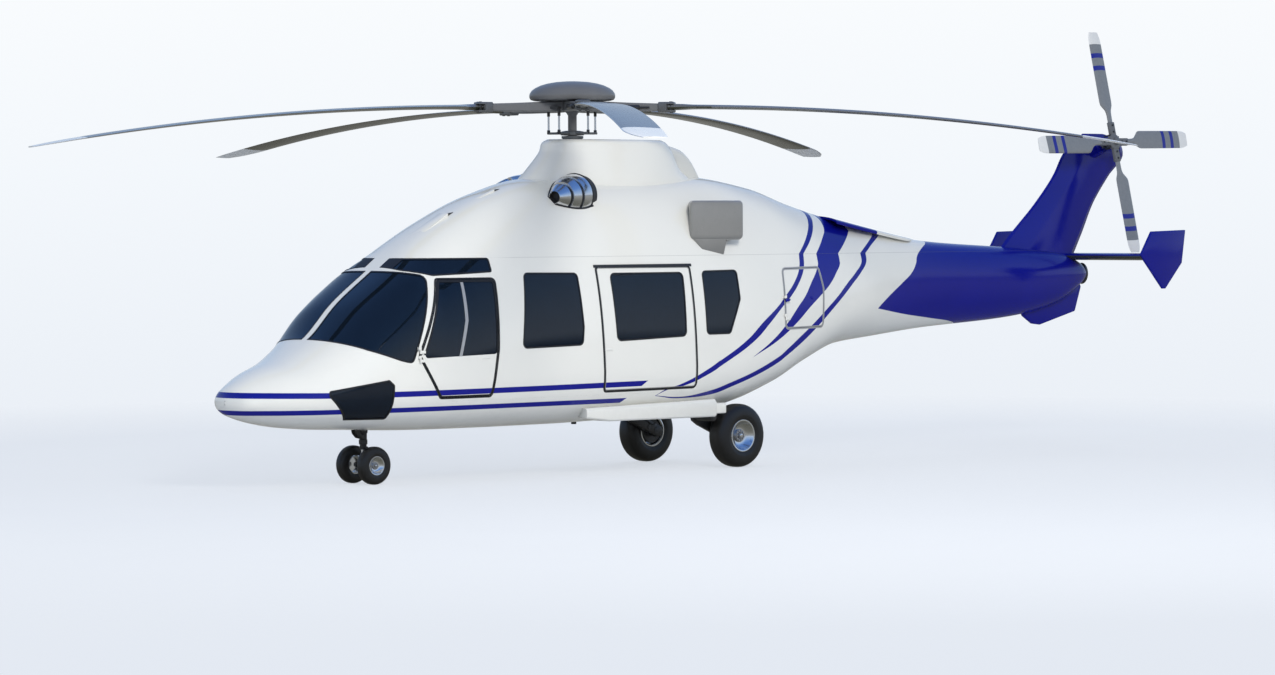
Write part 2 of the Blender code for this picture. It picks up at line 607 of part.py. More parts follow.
def tyred_wheel(name, wheel, y_places, axle):
    """Tyres on dished rims, joined by their axle, turning about y. The dish shows on the outer side."""
    radius, width, rim = wheel["radius"], wheel["width"], wheel["rim"]
    half = width / 2
    outer = [(0.0, half * 0.62), (rim * 0.45, half * 0.62), (rim * 0.62, half * 0.40),
             (rim * 0.95, half * 0.70), (rim, half * 0.86), (rim + 0.02, half * 0.95),
             (radius * 0.86, half), (radius * 0.97, half * 0.72), (radius, half * 0.35)]
    inner = [(radius, -half * 0.35), (radius * 0.97, -half * 0.72), (radius * 0.86, -half),
             (rim + 0.02, -half * 0.92), (rim, -half * 0.80), (0.0, -half * 0.80)]
    bodies = []
    for k, y in enumerate(y_places):
        turn = Matrix.Rotation(math.radians(-90 if y > 0 else 90), 4, "X")
        bodies.append(turned(name if k == 0 else f"{name}_{k}", outer + inner,
                             Matrix.Translation((wheel["x"], y, radius)) @ turn, TYRE if k == 0 else None))
    for other in bodies[1:]:
        ends = [(wheel["x"], y, radius) for y in y_places]
        fuse(bodies[0], other, drum(name + "_axle", *ends, axle, sides=20))
    return bodies[0]


def nose_gear():
    x, axle_z, half_y = NOSE_WHEEL["x"], NOSE_WHEEL["radius"], NOSE_LEG_HALF_Y
    leg = box("nose_leg", (x - NOSE_LEG_HALF_X, -half_y, 0.62), (x + NOSE_LEG_HALF_X, half_y, 0.99), BLACK)
    fuse(leg, drum("nose_cylinder", (x, 0, NOSE_CYLINDER_FOOT), (x, 0, 0.66), 0.055, sides=20))
    fork = drum("nose_steering_fork", (x, 0, 0.27), (x, 0, NOSE_CYLINDER_FOOT - GAP), 0.040, BLACK, sides=20)
    fuse(fork, drum("nose_axle_boss", (x, -half_y, axle_z), (x, half_y, axle_z), 0.055, sides=20))
    cut(fork, drum("nose_axle_hole", (x, -0.3, axle_z), (x, 0.3, axle_z), NOSE_AXLE + AXLE_PLAY, sides=20))
    tyred_wheel("nose_wheels", NOSE_WHEEL, (NOSE_WHEEL["y"], -NOSE_WHEEL["y"]), NOSE_AXLE)


def main_gear():
    x, y, z = MAIN_WHEEL["x"], MAIN_WHEEL["y"], MAIN_WHEEL["radius"]
    wheel_inner = y - MAIN_WHEEL["width"] / 2
    arm_y = wheel_inner - 0.06
    # Trailing arm in x and z, from the axle forward to its pivot
    arm_outline = ((x - 0.06, z - 0.06), (x - 0.06, z + 0.06), (-1.50, 0.64), (-1.50, 0.76), (-1.62, 0.60))
    for name, side in SIDES:
        leg = hull("main_leg_" + name, [(px, (arm_y + dy) * side, pz) for px, pz in arm_outline
                                        for dy in (-0.04, 0.04)], BLACK)
        near, far = sorted(((arm_y - 0.06) * side, (arm_y + 0.36) * side))
        fuse(leg, drum("main_axle_" + name, (x, arm_y * side, z), (x, (y - 0.02) * side, z), MAIN_AXLE,
                       sides=20),
             box("main_trunnion_" + name, (-1.66, near, 0.60), (-1.48, far, 0.80)),
             drum("main_strut_" + name, (x + 0.16, arm_y * side, z + 0.04), (x + 0.22, arm_y * side, 1.02),
                  MAIN_AXLE, sides=16))
        cut(leg, OUTSIDE, grown_sponson(name, side))
        wheel = tyred_wheel("main_wheel_" + name, MAIN_WHEEL, (y * side,), MAIN_AXLE)
        cut(wheel, drum("main_axle_hole_" + name, (x, (y - 0.4) * side, z), (x, y * side, z),
                        MAIN_AXLE + AXLE_PLAY, sides=20))


def grown_sponson(name, side):
    """The space that a sponson and its step take, with the gap all round."""
    step = SPONSON_STEP
    points = [(x, y * side, z) for x, inner, outer, low, high in SPONSON
              for y in (inner - GAP, outer + GAP) for z in (low - GAP, high + GAP)]
    space = hull("sponson_space_" + name, points)
    near, far = sorted(((step["inner"] - GAP) * side, (step["outer"] + GAP) * side))
    return fuse(space, box("step_space_" + name, (step["x"] - GAP, near, step["low"] - GAP),
                           (SPONSON[-1][0] + 0.02, far, step["high"] + GAP)))


def droop(radius):
    return DROOP_Z - DROOP * ((radius - DROOP_START) / (ROTOR_RADIUS - DROOP_START)) ** 2


def main_rotor():
    head = turned("rotor_head", HEAD, Matrix.Identity(4), GREY)
    for k in range(BLADES):
        turn = Matrix.Rotation(math.radians(BLADE_AZIMUTH + 360 / BLADES * k), 4, "Z")
        arm = [(0.15, y, z) for y in (-0.13, 0.13) for z in (4.77, 4.90)]
        arm += [(GRIP_END - GAP, y, z) for y in (-0.055, 0.055) for z in (4.755, 4.835)]
        horn = [(0.12, y, z) for y in (-0.03, 0.03) for z in (4.452, 4.482)]
        horn += [(0.30, 0.07 + y, z) for y in (-0.022, 0.022) for z in (4.452, 4.482)]
        link = [turn @ Vector((LINK_CIRCLE, 0.07, z)) for z in (4.46, 4.80)]
        fuse(head, hull(f"rotor_arm_{k}", [turn @ Vector(p) for p in arm]),
             drum(f"pitch_link_{k}", *link, LINK_RADIUS, sides=10),
             hull(f"link_horn_{k}", [turn @ Vector(p) for p in horn]))
        tube_of_rings(f"main_blade_{k + 1}", [
            blade_ring(lead, trail, thick, lambda x, t, r=r: turn @ Vector((r, -x, droop(r) + t)))
            for r, lead, trail, thick in BLADE], GREY)


def tail_rotor():
    place = Matrix.Translation(TAIL_HUB) @ Matrix.Rotation(math.radians(TAIL_CANT - 90), 4, "X")
    profile = ((0.0, 0.075), (0.05, 0.07), (0.06, 0.035), (0.115, 0.03), (0.12, -0.03), (0.05, -0.04),
               (0.045, -TAIL_SHAFT), (0.0, -TAIL_SHAFT))
    hub = turned("tail_rotor", profile, place, GREY)
    for k in range(4):
        turn = place @ Matrix.Rotation(math.radians(90 * k + TAIL_PITCH), 4, "Z")
        fuse(hub, tube_of_rings(f"tail_blade_{k}", [
            blade_ring(lead, trail, thick, lambda x, t, r=r: turn @ Vector((r, x, t)))
            for r, lead, trail, thick in TAIL_BLADE]))


def interior():
    panel_outline = ((3.50, SILL + 0.25), (3.72, SILL + 0.25), (3.78, 1.58), (3.52, 1.66))
    panel = hull("instrument_panel", [(x, y, z) for y in (-0.72, 0.72) for x, z in panel_outline], BLACK)
    fuse(panel, box("centre_console", (2.81, -0.13, SILL), (3.70, 0.13, SILL + 0.42)))
    back_outline = ((2.26, SILL + 0.40), (2.42, SILL + 0.40), (2.36, 2.36), (2.24, 2.36))
    seats = box("crew_seats", (2.35, -0.78, SILL), (2.80, 0.78, SILL + 0.10), CLOTH)
    for name, side in SIDES:
        low, high = sorted(y * side for y in CREW_SEAT_Y)
        back = [(x, y, z) for y in (low + 0.01, high - 0.01) for x, z in back_outline]
        fuse(seats, box("crew_cushion_" + name, (2.34, low, SILL + 0.09), (2.84, high, SILL + 0.46),
                        bevel=0.03),
             hull("crew_back_" + name, back))
    rows = box("cabin_seats", (-2.20, -0.80, SILL), (1.35, 0.80, SILL + 0.05), CLOTH)
    for k, x in enumerate(CABIN_ROWS):
        fuse(rows, box(f"cabin_cushion_{k}", (x - 0.22, -0.84, SILL + 0.04), (x + 0.26, 0.84, SILL + 0.42)),
             box(f"cabin_back_{k}", (x - 0.24, -0.84, SILL + 0.40), (x - 0.12, 0.84, SILL + 1.10)))


def hang_on_axis(name, place, pieces):
    """An empty on a joint's axis, which carries the pieces that turn about it."""
    axis = bpy.data.objects.new(name, None)
    PARTS.objects.link(axis)
    axis.location = place
    for piece in pieces:
        child = bpy.data.objects[piece]
        child.parent = axis
        child.matrix_parent_inverse = Matrix.Translation(-Vector(place))
    return axis


def moving_pieces():
    hang_on_axis("main_rotor_axis", (0, 0, ROTOR_Z),
                 ["rotor_head"] + [f"main_blade_{k + 1}" for k in range(BLADES)])
    hang_on_axis("tail_rotor_axis", TAIL_HUB, ["tail_rotor"])
    nose_x, nose_z = NOSE_WHEEL["x"], NOSE_WHEEL["radius"]
    steering = hang_on_axis("nose_steering_axis", (nose_x, 0, NOSE_CYLINDER_FOOT), ["nose_steering_fork"])
    nose = hang_on_axis("nose_wheels_axis", (nose_x, 0, nose_z), ["nose_wheels"])
    nose.parent = steering
    nose.location -= steering.location
    main_x, main_y, main_z = MAIN_WHEEL["x"], MAIN_WHEEL["y"], MAIN_WHEEL["radius"]
    for name, side in SIDES:
        hang_on_axis("main_wheel_axis_" + name, (main_x, main_y * side, main_z), ["main_wheel_" + name])
        hang_on_axis("crew_door_axis_" + name, (CREW_HINGE[0], CREW_HINGE[1] * side, SILL),
                     ["crew_door_" + name, "crew_door_glass_" + name])
        hang_on_axis("baggage_hatch_axis_" + name, (HATCH_HINGE[0], HATCH_HINGE[1] * side, SILL),
                     ["baggage_hatch_" + name])


belly_and_nose()
cockpit()
cabin()
rear_body()
doors()
tail_surfaces()
mast_fairing(cowlings())
powerplant()
intakes_and_exhausts()
sponsons()
nose_gear()
main_gear()
main_rotor()
tail_rotor()
interior()
moving_pieces()
for placed in bpy.data.objects:
    if placed.parent is None:
        placed.location.z -= PAD_HEIGHT
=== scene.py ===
# %% [markdown]
# # A medium transport helicopter, parked on its wheels
# The solids of the part are loaded first. They say where every piece is and how big it is, and
# they are never changed. Each finished piece is then made around them, rides on one of their
# bodies, and hides the plain solid that it stands for.

# %% The frame of solids
import math

import bpy
import numpy as np
from mathutils import Matrix, Vector


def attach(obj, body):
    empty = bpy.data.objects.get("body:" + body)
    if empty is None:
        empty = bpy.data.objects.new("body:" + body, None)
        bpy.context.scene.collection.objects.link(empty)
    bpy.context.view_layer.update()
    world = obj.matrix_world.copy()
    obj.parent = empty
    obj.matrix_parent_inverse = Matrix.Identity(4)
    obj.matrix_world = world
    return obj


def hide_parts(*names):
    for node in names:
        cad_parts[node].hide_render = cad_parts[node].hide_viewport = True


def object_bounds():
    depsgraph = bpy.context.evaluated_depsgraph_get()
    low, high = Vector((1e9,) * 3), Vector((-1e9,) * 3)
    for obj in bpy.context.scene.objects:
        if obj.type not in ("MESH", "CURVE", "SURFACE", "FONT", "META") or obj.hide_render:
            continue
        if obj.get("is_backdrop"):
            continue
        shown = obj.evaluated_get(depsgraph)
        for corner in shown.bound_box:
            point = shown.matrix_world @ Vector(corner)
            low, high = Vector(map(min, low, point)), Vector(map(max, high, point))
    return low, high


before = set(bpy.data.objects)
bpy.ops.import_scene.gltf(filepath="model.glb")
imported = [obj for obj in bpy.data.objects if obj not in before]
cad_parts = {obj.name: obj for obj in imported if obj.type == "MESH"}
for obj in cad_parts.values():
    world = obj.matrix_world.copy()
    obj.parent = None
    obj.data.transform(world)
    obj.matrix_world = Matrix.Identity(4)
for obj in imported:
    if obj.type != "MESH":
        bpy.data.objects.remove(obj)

SOLID_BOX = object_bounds()
GROUND = -0.600     # the origin is the hook pad under the belly, 0.6 m above the floor

# %% [markdown]
# ## The camera
# A long lens far away keeps the helicopter almost free of perspective, as in a catalogue picture.
# The place and the turn are set as numbers, so the frame never depends on the window.

# %% Camera
YAW, PITCH, ROLL = -2.30855292, -0.0293743, -0.00402917
CAMERA_PLACE, LENS = Vector((34.402, 39.108, 3.297 + GROUND)), 111.26
ahead = Vector((math.cos(PITCH) * math.cos(YAW), math.cos(PITCH) * math.sin(YAW), math.sin(PITCH)))
level = Vector((math.sin(YAW), -math.cos(YAW), 0))
above = level.cross(ahead)
right = level * math.cos(ROLL) + above * math.sin(ROLL)
up = above * math.cos(ROLL) - level * math.sin(ROLL)
bpy.ops.object.camera_add()
camera = bpy.context.object
camera.name = "studio_camera"
camera.data.lens = LENS
camera.data.sensor_width = 36
camera.data.clip_end = 2000
turned = Matrix((right, up, -ahead)).transposed().to_4x4()
camera.matrix_world = Matrix.Translation(CAMERA_PLACE) @ turned
bpy.context.scene.camera = camera
print("camera", round((camera.location - Vector((0, 0, 1))).length, 1), "m from the cabin")

# %% [markdown]
# ## Small helpers for modelling
# Operators act on all that is selected, so each helper starts by selecting one piece alone. A
# modifier is applied at once, which keeps every piece a plain mesh that later steps can cut.

# %% Helpers
SIDES = (("left", 1), ("right", -1))
AIRFRAME = ("airframe", "airframe")     # the bodies of a port piece and its starboard twin
CREW = ("crew_door_left", "crew_door_right")
HATCHES = ("baggage_hatch_left", "baggage_hatch_right")
FLIP_Y = Matrix.Scale(-1, 4, (0, 1, 0))
MERGE = 0.00002         # points of a loft that lie closer together become one


def alone(piece):
    """Select one piece, with nothing else selected."""
    if bpy.context.object and bpy.context.object.mode == "EDIT":
        bpy.ops.object.mode_set(mode="OBJECT")
    bpy.ops.object.select_all(action="DESELECT")
    piece.select_set(True)
    bpy.context.view_layer.objects.active = piece
    return piece


def edit(piece, select=True):
    """Go into edit mode on one piece, with all of it selected or nothing."""
    alone(piece)
    bpy.ops.object.mode_set(mode="EDIT")
    bpy.ops.mesh.select_mode(type="FACE")
    bpy.ops.mesh.select_all(action="SELECT" if select else "DESELECT")


def done():
    """Leave edit mode."""
    bpy.ops.object.mode_set(mode="OBJECT")
    return bpy.context.object


def pick(piece, test):
    """Select the faces whose centre and normal pass a test, and go into edit mode."""
    edit(piece, select=False)
    bpy.ops.object.mode_set(mode="OBJECT")
    for face in piece.data.polygons:
        face.select = bool(test(face.center, face.normal))
    bpy.ops.object.mode_set(mode="EDIT")


def modify(piece, kind, **settings):
    """Add a modifier, set it and apply it."""
    alone(piece)
    modifier = piece.modifiers.new(kind, kind)
    for key, value in settings.items():
        setattr(modifier, key, value)
    bpy.ops.object.modifier_apply(modifier=modifier.name)
    return piece


def carve(piece, tool, operation="DIFFERENCE"):
    """Cut, keep or fuse with another closed shape, which is used up."""
    modify(piece, "BOOLEAN", operation=operation, object=tool, solver="EXACT")
    bpy.data.objects.remove(tool)
    return piece


def copy_of(piece, move=None):
    """A copy with its own mesh, moved by a matrix. A mirrored one is turned the right way out."""
    twin = piece.copy()
    twin.data = piece.data.copy()
    bpy.context.scene.collection.objects.link(twin)
    if move is not None:
        twin.data.transform(move)
        if move.determinant() < 0:
            twin.data.flip_normals()
    return twin


def join(first, *others):
    """Make one piece of several. The first one's name and place stay."""
    alone(first)
    for other in others:
        other.select_set(True)
    bpy.ops.object.join()
    return bpy.context.object


def put(piece, turn):
    """Move a finished mesh to its place, so that the object itself stays at the origin."""
    piece.data.transform(turn @ piece.matrix_world)
    piece.matrix_world = Matrix.Identity(4)
    if turn.determinant() < 0:
        piece.data.flip_normals()
    return piece


def grounded(piece):
    """Lower a piece that was modelled in heights above the floor."""
    return put(piece, Matrix.Translation((0, 0, GROUND)))


def soften(piece, width, segments, angle):
    """Round the edges that turn by more than an angle, in radians."""
    return modify(piece, "BEVEL", width=width, segments=segments, limit_method="ANGLE", angle_limit=angle)


def lofted(rings, closed=True, caps=True):
    """A grid wrapped through rings of points, with its two ends filled."""
    rings = np.asarray(rings, float)
    if closed:
        rings = np.concatenate([rings, rings[:, :1]], axis=1)
    rows, count = rings.shape[:2]
    bpy.ops.object.select_all(action="DESELECT")
    bpy.ops.mesh.primitive_grid_add(x_subdivisions=rows - 1, y_subdivisions=count - 1, size=1)
    piece = bpy.context.object
    places = np.empty(len(piece.data.vertices) * 3)
    piece.data.vertices.foreach_get("co", places)
    places = places.reshape(-1, 3)
    row = np.rint((places[:, 0] + 0.5) * (rows - 1)).astype(int)
    column = np.rint((places[:, 1] + 0.5) * (count - 1)).astype(int)
    piece.data.vertices.foreach_set("co", rings[row, column].ravel())
    edit(piece)
    bpy.ops.mesh.remove_doubles(threshold=MERGE)
    if caps:
        bpy.ops.mesh.fill_holes(sides=0)
    bpy.ops.mesh.select_all(action="SELECT")
    bpy.ops.mesh.normals_make_consistent(inside=False)
    return done()


def spun(profile, steps=48):
    """A solid of revolution about z, from (radius, height) pairs that start and end on the axis."""
    angles = np.linspace(0, math.tau, steps, endpoint=False)
    return lofted([[(r * math.cos(a), r * math.sin(a), z) for a in angles] for r, z in profile])


def prism(outline, low, high):
    """An outline in x and z, extruded along y."""
    bpy.ops.object.select_all(action="DESELECT")
    bpy.ops.mesh.primitive_circle_add(vertices=len(outline), radius=1, fill_type="NGON")
    piece = bpy.context.object
    for vertex, (x, z) in zip(piece.data.vertices, outline):
        vertex.co = (x, low, z)
    edit(piece)
    bpy.ops.mesh.extrude_region_move(TRANSFORM_OT_translate={"value": (0, high - low, 0)})
    bpy.ops.mesh.select_all(action="SELECT")
    bpy.ops.mesh.normals_make_consistent(inside=False)
    return done()


def box(low, high, bevel=0.0, segments=3):
    """A cube between two corners, with its edges rounded."""
    bpy.ops.object.select_all(action="DESELECT")
    middle = [(a + b) / 2 for a, b in zip(low, high)]
    size = [b - a for a, b in zip(low, high)]
    bpy.ops.mesh.primitive_cube_add(size=1, location=middle, scale=size)
    bpy.ops.object.transform_apply(location=True, rotation=True, scale=True)
    piece = bpy.context.object
    if bevel:
        modify(piece, "BEVEL", width=bevel, segments=segments, limit_method="ANGLE")
    return piece


def rod(start, end, radius, end_radius=None, sides=24, bevel=0.0):
    """A round bar or cone between two points."""
    a, b = Vector(start), Vector(end)
    bpy.ops.object.select_all(action="DESELECT")
    bpy.ops.mesh.primitive_cone_add(
        vertices=sides, radius1=radius, radius2=radius if end_radius is None else end_radius,
        depth=(b - a).length, location=(a + b) / 2, rotation=(b - a).to_track_quat("Z", "Y").to_euler())
    bpy.ops.object.transform_apply(location=True, rotation=True, scale=True)
    piece = bpy.context.object
    if bevel:
        modify(piece, "BEVEL", width=bevel, segments=2, limit_method="ANGLE", angle_limit=1.0)
    return piece


# %% [markdown]
# ## Shader maths
# A wire stands for one output socket. Sums and products of wires add Math nodes, so a pattern can
# be written as a line of arithmetic. Every other node comes from one method.

# %% Wires between shader nodes
class Wire:
    """One output socket of a shader node."""

    def __init__(self, tree, socket):
        self.tree, self.socket = tree, socket

    def node(self, kind, settings=None, inputs=None, out=0):
        """Add a node: its settings first, then values or wires for its input sockets."""
        made = self.tree.nodes.new(kind)
        for key, value in (settings or {}).items():
            if key == "stops":
                ramp = made.color_ramp.elements
                while len(ramp) < len(value):
                    ramp.new(1.0)
                for stop, (place, colour) in zip(ramp, value):
                    stop.position, stop.color = place, colour
            elif key == "points":
                curve = made.mapping.curves[0].points
                while len(curve) < len(value):
                    curve.new(0.5, 0.5)
                for point, (x, y, handle) in zip(curve, value):
                    point.location = (x, y)
                    point.handle_type = handle
                made.mapping.update()
            else:
                setattr(made, key, value)
        for key, value in (inputs or {}).items():
            if isinstance(value, Wire):
                self.tree.links.new(value.socket, made.inputs[key])
            else:
                made.inputs[key].default_value = value
        return Wire(self.tree, made.outputs[out])

    def maths(self, operation, *values, clamp=False):
        return self.node("ShaderNodeMath", {"operation": operation, "use_clamp": clamp},
                         dict(enumerate(values)))

    def __add__(self, other):
        return self.maths("ADD", self, other)

    def __sub__(self, other):
        return self.maths("SUBTRACT", self, other)

    def __rsub__(self, other):
        return self.maths("SUBTRACT", other, self)

    def __mul__(self, other):
        return self.maths("MULTIPLY", self, other)

    def __truediv__(self, other):
        return self.maths("DIVIDE", self, other)

    def __abs__(self):
        return self.maths("ABSOLUTE", self)

    __radd__, __rmul__ = __add__, __mul__

    def edge(self, width=0.003):
        """0 below zero and 1 above it, with a soft step."""
        return self.maths("MULTIPLY_ADD", self, 1 / width, 0.5, clamp=True)

    def least(self, other):
        return self.maths("MINIMUM", self, other)

    def most(self, other):
        return self.maths("MAXIMUM", self, other)

    def mix(self, one, two, kind="RGBA"):
        """Between two colours (or values), by this wire."""
        if kind == "FLOAT":
            return self.node("ShaderNodeMix", {"data_type": "FLOAT"}, {0: self, 2: one, 3: two})
        return self.node("ShaderNodeMix", {"data_type": "RGBA"}, {0: self, 6: one, 7: two}, out=2)

    def follow(self, table, bend=None):
        """A smooth curve through (input, output) pairs, level beyond its ends and sharp at the bend."""
        xs, ys = [p[0] for p in table], [p[1] for p in table]
        low, span = min(xs), max(xs) - min(xs)
        base, rise = min(ys), max(max(ys) - min(ys), 0.001)
        points = sorted(((x - low) / span, (y - base) / rise, "VECTOR" if x == bend else "AUTO_CLAMPED")
                        for x, y in table)
        share = self.maths("MULTIPLY_ADD", self, 1 / span, -low / span, clamp=True)
        curve = self.node("ShaderNodeFloatCurve", {"points": points}, {1: share})
        return curve.maths("MULTIPLY_ADD", curve, rise, base)


def new_finish(name):
    """An empty material, with the object's own coordinates as the first wire."""
    material = bpy.data.materials.new(name)
    material.use_nodes = True
    tree = material.node_tree
    tree.nodes.clear()
    coordinates = tree.nodes.new("ShaderNodeTexCoord")
    return material, Wire(tree, coordinates.outputs["Object"])


def surface(material, place, **sockets):
    """Close a material with a Principled shader. Keys are socket names, with _ for a space."""
    inputs = {key.replace("_", " "): value for key, value in sockets.items()}
    shader = place.node("ShaderNodeBsdfPrincipled", {}, inputs)
    output = place.tree.nodes.new("ShaderNodeOutputMaterial")
    place.tree.links.new(shader.socket, output.inputs["Surface"])
    return material


def noise(place, scale, detail=3.0, roughness=0.5):
    """Cloudy grain from 0 to 1."""
    return place.node("ShaderNodeTexNoise", {}, {"Vector": place, "Scale": scale, "Detail": detail,
                                                 "Roughness": roughness})


def bump(height, strength=0.2, distance=0.001):
    return height.node("ShaderNodeBump", {}, {"Height": height, "Strength": strength,
                                              "Distance": distance})


def split(place):
    """The x, y and z wires of a vector."""
    made = place.tree.nodes.new("ShaderNodeSeparateXYZ")
    place.tree.links.new(place.socket, made.inputs[0])
    return [Wire(place.tree, made.outputs[k]) for k in range(3)]


# %% [markdown]
# ## The skin of the body
# The body is a row of cross-sections, each a rounded box that is fuller or flatter above and below
# its widest line. A smooth curve runs through the sections, measured in the square root of the
# distance from the nose, because that makes the nose tip round. The same rule gives every panel,
# door and pane, so all of them lie in one surface.

# %% Sections of the body: x, half width, keel, widest height, top, fullness below and above
BODY = np.array((
    (5.690, 0.03, 1.060, 1.09, 1.130, 2.0, 2.0), (5.620, 0.31, 0.945, 1.09, 1.258, 2.0, 2.0),
    (5.450, 0.47, 0.875, 1.10, 1.370, 2.1, 2.0), (5.200, 0.66, 0.813, 1.12, 1.490, 2.2, 2.0),
    (4.900, 0.81, 0.762, 1.15, 1.600, 2.3, 2.0), (4.440, 0.94, 0.722, 1.20, 1.862, 2.4, 2.4),
    (4.000, 1.04, 0.705, 1.26, 2.284, 2.6, 3.0), (3.475, 1.11, 0.681, 1.34, 2.665, 2.8, 3.2),
    (3.000, 1.13, 0.669, 1.40, 3.000, 3.0, 2.5), (2.400, 1.15, 0.662, 1.46, 3.345, 3.0, 2.4),
    (1.600, 1.15, 0.659, 1.50, 3.683, 3.0, 2.4), (0.800, 1.15, 0.661, 1.50, 3.868, 3.0, 2.4),
    (-1.000, 1.15, 0.708, 1.50, 3.910, 3.0, 2.4), (-2.000, 1.12, 0.775, 1.55, 3.899, 2.9, 2.4),
    (-3.000, 1.02, 1.021, 1.75, 3.765, 2.7, 2.3), (-3.700, 0.91, 1.298, 1.95, 3.560, 2.5, 2.3),
    (-4.600, 0.75, 1.570, 2.20, 3.339, 2.3, 2.3), (-5.500, 0.61, 1.664, 2.40, 3.172, 2.2, 2.4),
    (-6.500, 0.50, 1.759, 2.45, 3.017, 2.2, 2.4), (-8.500, 0.36, 1.890, 2.45, 2.899, 2.2, 2.3),
    (-9.400, 0.27, 2.046, 2.47, 2.840, 2.2, 2.2), (-10.000, 0.16, 2.325, 2.49, 2.680, 2.0, 2.0),
    (-10.220, 0.03, 2.480, 2.50, 2.520, 2.0, 2.0)))
BODY[:, 2:5] += GROUND
NOSE_X = 5.700


def smooth_row(places, values):
    """A curve through values that never swings past them."""
    gap = np.diff(places)
    rise = np.diff(values) / gap
    slope = np.zeros(len(places))
    slope[0], slope[-1] = rise[0], rise[-1]
    for k in range(1, len(places) - 1):
        if rise[k - 1] * rise[k] > 0:
            a, b = 2 * gap[k] + gap[k - 1], gap[k] + 2 * gap[k - 1]
            slope[k] = (a + b) / (a / rise[k - 1] + b / rise[k])

    def at(place):
        k = np.clip(np.searchsorted(places, place) - 1, 0, len(places) - 2)
        t = (place - places[k]) / gap[k]
        return (values[k] * (1 + 2 * t) * (1 - t) ** 2 + gap[k] * slope[k] * t * (1 - t) ** 2
                + values[k + 1] * t * t * (3 - 2 * t) + gap[k] * slope[k + 1] * t * t * (t - 1))

    return at


BODY_CURVES = [smooth_row(np.sqrt(NOSE_X - BODY[:, 0]), BODY[:, k]) for k in range(1, 7)]


def section(x):
    """Half width, keel, widest height, top and the two fullnesses at x."""
    place = np.sqrt(np.clip(NOSE_X - np.asarray(x, float), 0, None))
    return [curve(place) for curve in BODY_CURVES]


def ring(x, share, inset=0.0):
    """Points of the port side at x. The shares run from keel 0 to spine 1, evenly along the skin."""
    half, keel, widest, top, low, high = section(x)
    angle = np.linspace(-math.pi / 2, math.pi / 2, 361)
    side, rise = np.cos(angle), np.sin(angle)
    power = 2 / np.where(rise > 0, high, low)
    reach = np.where(rise > 0, top - widest, widest - keel) - inset
    y = (half - inset) * np.abs(side) ** power
    z = widest + reach * np.sign(rise) * np.abs(rise) ** power
    y[0] = y[-1] = 0
    length = np.concatenate([[0], np.cumsum(np.hypot(np.diff(y), np.diff(z)))])
    want = np.asarray(share) * length[-1]
    return np.stack([np.full(len(want), x), np.interp(want, length, y), np.interp(want, length, z)], -1)


def depth(points, inset=0.0):
    """Below zero inside the body, zero on its skin, and above it outside."""
    x, y, z = points.T
    half, keel, widest, top, low, high = section(x)
    over = z > widest
    power = np.where(over, high, low)
    reach = np.where(over, top - widest, widest - keel) - inset
    return (np.abs(y) / (half - inset)) ** power + (np.abs(z - widest) / reach) ** power - 1


def outward(points, inset=0.0):
    """The direction straight out of the skin at each point."""
    step = 0.002
    slope = np.stack([depth(points + np.eye(3)[k] * step, inset) - depth(points - np.eye(3)[k] * step, inset)
                      for k in range(3)], -1)
    return slope / np.maximum(np.linalg.norm(slope, axis=1, keepdims=True), 1e-9)


print("body", round(float(BODY[0, 0] - BODY[-1, 0]), 2), "m long")

# %% [markdown]
# ## Slabs of skin
# A grid is wrapped on the port side of the surface, and a second one inside it. Their rims are
# bridged, which makes a closed slab with the wall's thickness. Panels, doors and panes are then
# kept from such a slab with prisms, as a cutter would trim a moulded shell.

# %% A slab of skin and its finish
ROWS = 40               # from keel to spine
X_NEARLY_TIP = 5.0      # forward of it, the sections lie closer together


def tip_of(inset):
    """The foremost place where the skin, moved inward, still has room on every side."""
    places = np.linspace(NOSE_X, X_NEARLY_TIP, 1400)
    half, keel, widest, top, _, _ = section(places)
    room = np.minimum(half, np.minimum(top - widest, widest - keel)) - inset
    return float(places[np.argmax(room > 0.012)])


def slab(front, rear, inset=0.0, wall=0.060, step=0.075, low=0.0, high=1.0):
    """A closed piece of the port skin between two places along x."""
    columns = max(3, math.ceil((front - rear) / step))
    rows = max(4, math.ceil(ROWS * (high - low)))
    sheets = []
    for depth_in in (inset, inset + wall):
        places = np.linspace(front, rear, columns)
        if front > X_NEARLY_TIP:
            reach = tip_of(depth_in)
            places = NOSE_X - np.linspace(math.sqrt(NOSE_X - reach), math.sqrt(NOSE_X - rear), columns) ** 2
        share = np.linspace(low, high, rows)
        sheets.append(lofted([ring(x, share, depth_in) for x in places], closed=False, caps=False))
    piece = join(*sheets)
    edit(piece)
    bpy.ops.mesh.select_mode(type="EDGE")
    bpy.ops.mesh.select_all(action="DESELECT")
    bpy.ops.mesh.select_non_manifold(extend=False, use_wire=False, use_multi_face=False,
                                     use_non_contiguous=False, use_verts=False)
    bpy.ops.mesh.bridge_edge_loops()
    bpy.ops.mesh.select_all(action="SELECT")
    bpy.ops.mesh.normals_make_consistent(inside=False)
    done()
    piece["inset"] = inset
    return piece


def whole(piece):
    """Both sides of a piece of skin: its rim in the plane of symmetry goes, and it is mirrored."""
    pick(piece, lambda centre, normal: abs(centre.y) < 0.0001 and abs(normal.y) > 0.9)
    bpy.ops.mesh.delete(type="FACE")
    done()
    return modify(piece, "MIRROR", use_axis=(False, True, False), merge_threshold=0.0002)


def smooth(piece, angle=35.0):
    """Shade a piece smooth, with its edges kept where they turn by more than an angle."""
    alone(piece)
    bpy.ops.object.shade_smooth_by_angle(angle=math.radians(angle))
    return piece


